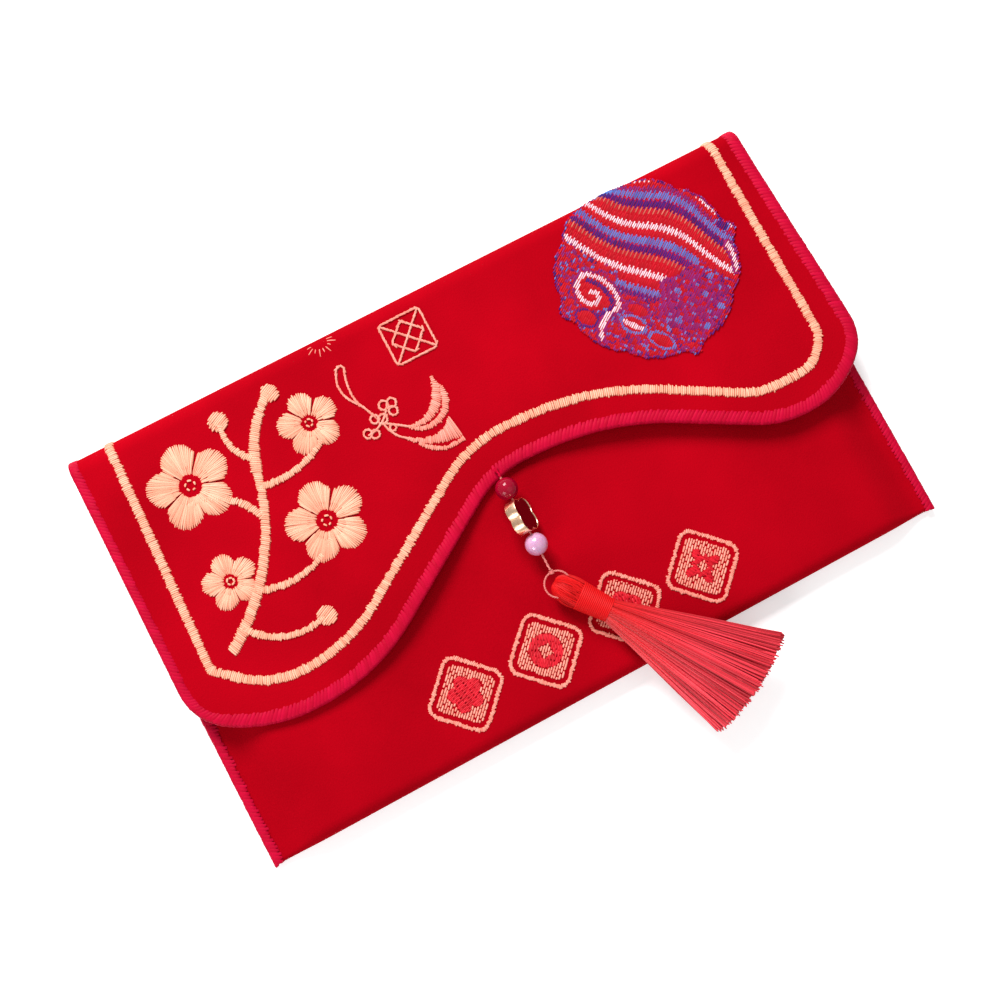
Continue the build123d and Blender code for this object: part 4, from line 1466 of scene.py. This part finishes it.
# %% [markdown]
# ## The tassel
# A tassel is a hank of yarn folded over a loop, bound under the fold and cut at the other end. Its head
# is the fold, so strands run over it lengthwise, and a core of the same yarn fills the gaps.

# %% Make the tassel's head
tassel_turn = math.radians(35.5)
head_end, neck_end, skirt_end = 6.5, 15.0, 57.8
neck_half = np.array([3.6, 2.9])
skirt_half = np.array([15.0, 2.7])
head_z = sum(box_mm("tassel_head"))[2] / 2
tassel_way = np.array([math.sin(tassel_turn), -math.cos(tassel_turn), 0])
tassel_side = np.array([math.cos(tassel_turn), math.sin(tassel_turn), 0])
tassel_start = np.array([loop_middle[0], loop_middle[1], head_z])


def tassel_place(down, across, high):
    """A place on the tassel, by the way down its line, across it and above it."""
    down, across, high = (value[..., None] for value in np.broadcast_arrays(down, across, high))
    return tassel_start + down * tassel_way + across * tassel_side + high * [0, 0, 1.0]


head_down = np.array([-1.0, -0.6, 0.2, 1.4, 3.0, 4.6, 6.0, 7.0])
head_wide = 0.88 * np.array([1.4, 2.3, 3.1, 3.8, 4.2, 4.3, 4.1, 3.9])
head_tall = 0.92 * np.array([1.2, 1.8, 2.4, 2.9, 3.2, 3.25, 3.15, 3.0])
core_turn = np.linspace(0, 2 * math.pi, 37)[:-1]
core_wide, core_tall = 0.93 * head_wide[:, None], 0.93 * head_tall[:, None]
core_points = tassel_place(head_down[:, None], core_wide * np.cos(core_turn), core_tall * np.sin(core_turn))
core_count = len(head_down), len(core_turn)
core_faces = ring_faces(*core_count) + end_caps(*core_count)
core = piece("tassel_head_core", core_points.reshape(-1, 3), core_faces, [head_yarn], "tassel_yarn")
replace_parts(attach(core, "tassel"), "tassel_head")

head_count = 110
head_turn = np.linspace(0, 2 * math.pi, head_count + 1)[:-1] + dice.normal(0, 0.03, head_count)
head_twist = head_turn[:, None] + np.linspace(-0.12, 0.12, len(head_down))
head_twist = head_twist + dice.normal(0, 0.04, head_twist.shape)
stand_off = dice.uniform(0.9, 1.04, (head_count, 1))
strand_wide, strand_tall = head_wide * stand_off, head_tall * stand_off
head_paths = tassel_place(head_down, strand_wide * np.cos(head_twist), strand_tall * np.sin(head_twist))
head_out = unit(head_paths - tassel_place(head_down, 0.0, 0.0)[None])
head_radius = np.interp(head_down, (-1, 1.5), (0.12, 0.2))
head = threads("tassel_head_yarn", head_paths, head_radius, head_out, [head_yarn], "tassel_yarn")
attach(head, "tassel")
print("tassel head strands:", head_count)

# %% [markdown]
# The binding is one thread in close turns, and it grows a little narrower on the way down.

# %% Bind the neck
wrap_turns = 18
wrap_turn = np.linspace(0, 2 * math.pi * wrap_turns, wrap_turns * 28)
wrap_down = np.linspace(head_end - 0.2, neck_end, len(wrap_turn))
wrap_radius = 0.29
neck_narrow = 0.8
taper = np.linspace(1.0, neck_narrow, len(wrap_turn))
wrap_wide, wrap_tall = (neck_half + 0.05)[:, None] * taper
wrap_path = tassel_place(wrap_down, wrap_wide * np.cos(wrap_turn), wrap_tall * np.sin(wrap_turn))
wrap = threads(
    "tassel_neck_wrap", wrap_path[None], wrap_radius, tassel_way, [head_yarn], "tassel_yarn", sides=6
)
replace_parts(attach(wrap, "tassel"), "neck_wrap")
print("turns of the binding:", wrap_turns)

# %% [markdown]
# The skirt's yarn is an even red at its root. Towards the tips its dark and light strands differ more:
# the pale pink ones are painted sheen and the deepest red ones painted shade, beside the yarn's own
# random tones, so the finish works out the way down the tassel from the place in space.

# %% Dye the skirt's yarn
# How far down the tips' painted sheen and painted shade grow in, in millimetres.
painted_tip_run = 26.0
yarn = Finish("skirt_yarn", {"Specular IOR Level": 0.4})
fibre = yarn.noise(0.25)
share = yarn.kept("shade") * 0.9 + fibre * 0.2
where = yarn.node("ShaderNodeSeparateXYZ", {}, {"Vector": yarn.place()})
way_down = where["X"] * tassel_way[0] + where["Y"] * tassel_way[1] - float(tassel_start @ tassel_way) * MM
root = yarn.between(share, (0.40, 0.001, 0.002), (0.76, 0.006, 0.009))
# Towards the tips the pale pink end is painted sheen and the deep red end is painted shade.
tip_sheen_and_shade = yarn.between(share, (0.26, 0.001, 0.005), (1.0, 0.058, 0.090))
toward_painted_tip = {"Factor": (way_down - neck_end * MM) * (1 / (painted_tip_run * MM)), "A": root, "B": tip_sheen_and_shade}
yarn_colour = yarn.node("ShaderNodeMix", {"data_type": "RGBA"}, toward_painted_tip)["Result"]
yarn.set({"Base Color": yarn_colour, "Roughness": 0.3 + fibre * 0.25})
yarn.bump(fibre, 0.3, 0.08)
print("finishes with the skirt's:", len(bpy.data.materials))

# %% [markdown]
# The skirt's strands start inside the binding, spread out and sink a little under their own weight.
# They have the same length, so the cut ends lie on an arc. Strands lean towards each other in locks,
# and the dark gaps between the locks make it look like yarn.

# %% Cut the skirt
strand_count = 1500
strand_radius = 0.18
lock_count = 44
lock_pull = 0.3
sink = 1.4
spread_turn = dice.uniform(0, 2 * math.pi, strand_count)
spread_reach = np.sqrt(dice.uniform(0, 1, strand_count))
place_across = spread_reach * np.cos(spread_turn)
place_high = spread_reach * np.sin(spread_turn)
locks = np.linspace(-1, 1, lock_count) + dice.normal(0, 0.4 / lock_count, lock_count)
nearest_lock = locks[np.argmin(np.abs(place_across[:, None] - locks[None]), axis=1)]
end_across = place_across + lock_pull * (nearest_lock - place_across)
end_across = end_across + dice.normal(0, 0.012, strand_count)
share = np.array([-0.12, 0.0, 0.1, 0.25, 0.45, 0.65, 0.85, 1.0])
opened = np.clip(share, 0, 1)
root_wide, root_tall = neck_half * neck_narrow * 1.04
tip_wide, tip_tall = skirt_half
across = (1 - opened) * root_wide * place_across[:, None] + opened * tip_wide * end_across[:, None]
across = across + 0.14 * np.sin(7 * opened + 40 * spread_turn[:, None]) * opened
bulge = 1 + 0.1 * np.sin(math.pi * opened)
high = ((1 - opened) * root_tall + opened * tip_tall) * place_high[:, None] * bulge - sink * opened**2
high = high + 0.25 * np.sin(9 * opened + 6 * spread_turn[:, None]) * opened
fan = skirt_end - neck_end + dice.normal(-0.9, 0.4, strand_count) + 2.2 * place_across
lean = np.arctan2(tip_wide * end_across, skirt_end - neck_end + 9)
down = neck_end + share * (fan * np.cos(lean))[:, None]
skirt_paths = tassel_place(down, across, high)
skirt_out = unit(np.array([0, 0, 1.0]) + 0.3 * tassel_side)
skirt = threads("tassel_skirt_yarn", skirt_paths, strand_radius, skirt_out, [yarn.material], "tassel_yarn")
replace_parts(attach(skirt, "tassel"), "tassel_skirt")
print("strands in the skirt:", strand_count)

# %% [markdown]
# ## Floor and light
# The envelope lies on a pale floor. Seen by the camera, in a reflection or through glass the floor
# glows a little, so that it reads as white paper and still takes a shadow.

# %% Lay the floor
floor_half, floor_low = 3.0, -0.0002
floor_mesh = bpy.data.meshes.new("floor")
floor_corners = ((-1, -1), (1, -1), (1, 1), (-1, 1))
floor_points = [(x * floor_half, y * floor_half, floor_low) for x, y in floor_corners]
floor_mesh.from_pydata(floor_points, [], [[0, 1, 2, 3]])
floor = bpy.data.objects.new("floor", floor_mesh)
bpy.context.scene.collection.objects.link(floor)
paper = Finish("floor_paper", {"Roughness": 0.9, "Specular IOR Level": 0.1})
grain = paper.noise(3.0)
paper.set({"Base Color": paper.between(grain, (0.86, 0.86, 0.86), (0.90, 0.90, 0.90))})
rays = paper.node("ShaderNodeLightPath", {}, {})
seen = rays["Is Camera Ray"] + rays["Is Glossy Ray"] + rays["Is Transmission Ray"]
paper.set({"Emission Color": paper.between(seen, (0, 0, 0), (1, 1, 1)), "Emission Strength": 0.4})
floor_mesh.materials.append(paper.material)
print("floor:", 2 * floor_half, "m wide")

# %% [markdown]
# The light is soft. The key lamp stands beyond the top edge and gives the shadow under the flap its
# direction. A large weak lamp fills in from the other side, a small one low at the left brightens the
# edges there, and a pale sky does the rest.

# %% Light the envelope


def softbox(name, place, size, power):
    """A square lamp that looks at the envelope."""
    lamp = bpy.data.lights.new(name, "AREA")
    lamp.size = size
    lamp.energy = power
    thing = bpy.data.objects.new(name, lamp)
    thing.location = place
    thing.rotation_euler = (-Vector(place)).to_track_quat("-Z", "Y").to_euler()
    bpy.context.scene.collection.objects.link(thing)


softbox("key_softbox", (-0.04, 0.58, 0.54), 0.32, 8.3)
softbox("fill_softbox", (0.30, -0.35, 0.85), 0.8, 1.0)
softbox("side_softbox", (-0.50, -0.32, 0.36), 0.3, 1.7)
sky = bpy.data.worlds.new("sky")
sky.use_nodes = True
sky.node_tree.nodes["Background"].inputs["Color"].default_value = (1, 1, 1, 1)
sky.node_tree.nodes["Background"].inputs["Strength"].default_value = 0.42
bpy.context.scene.world = sky
bpy.context.scene.view_settings.view_transform = "Standard"
print("lamps:", len(bpy.data.lights))
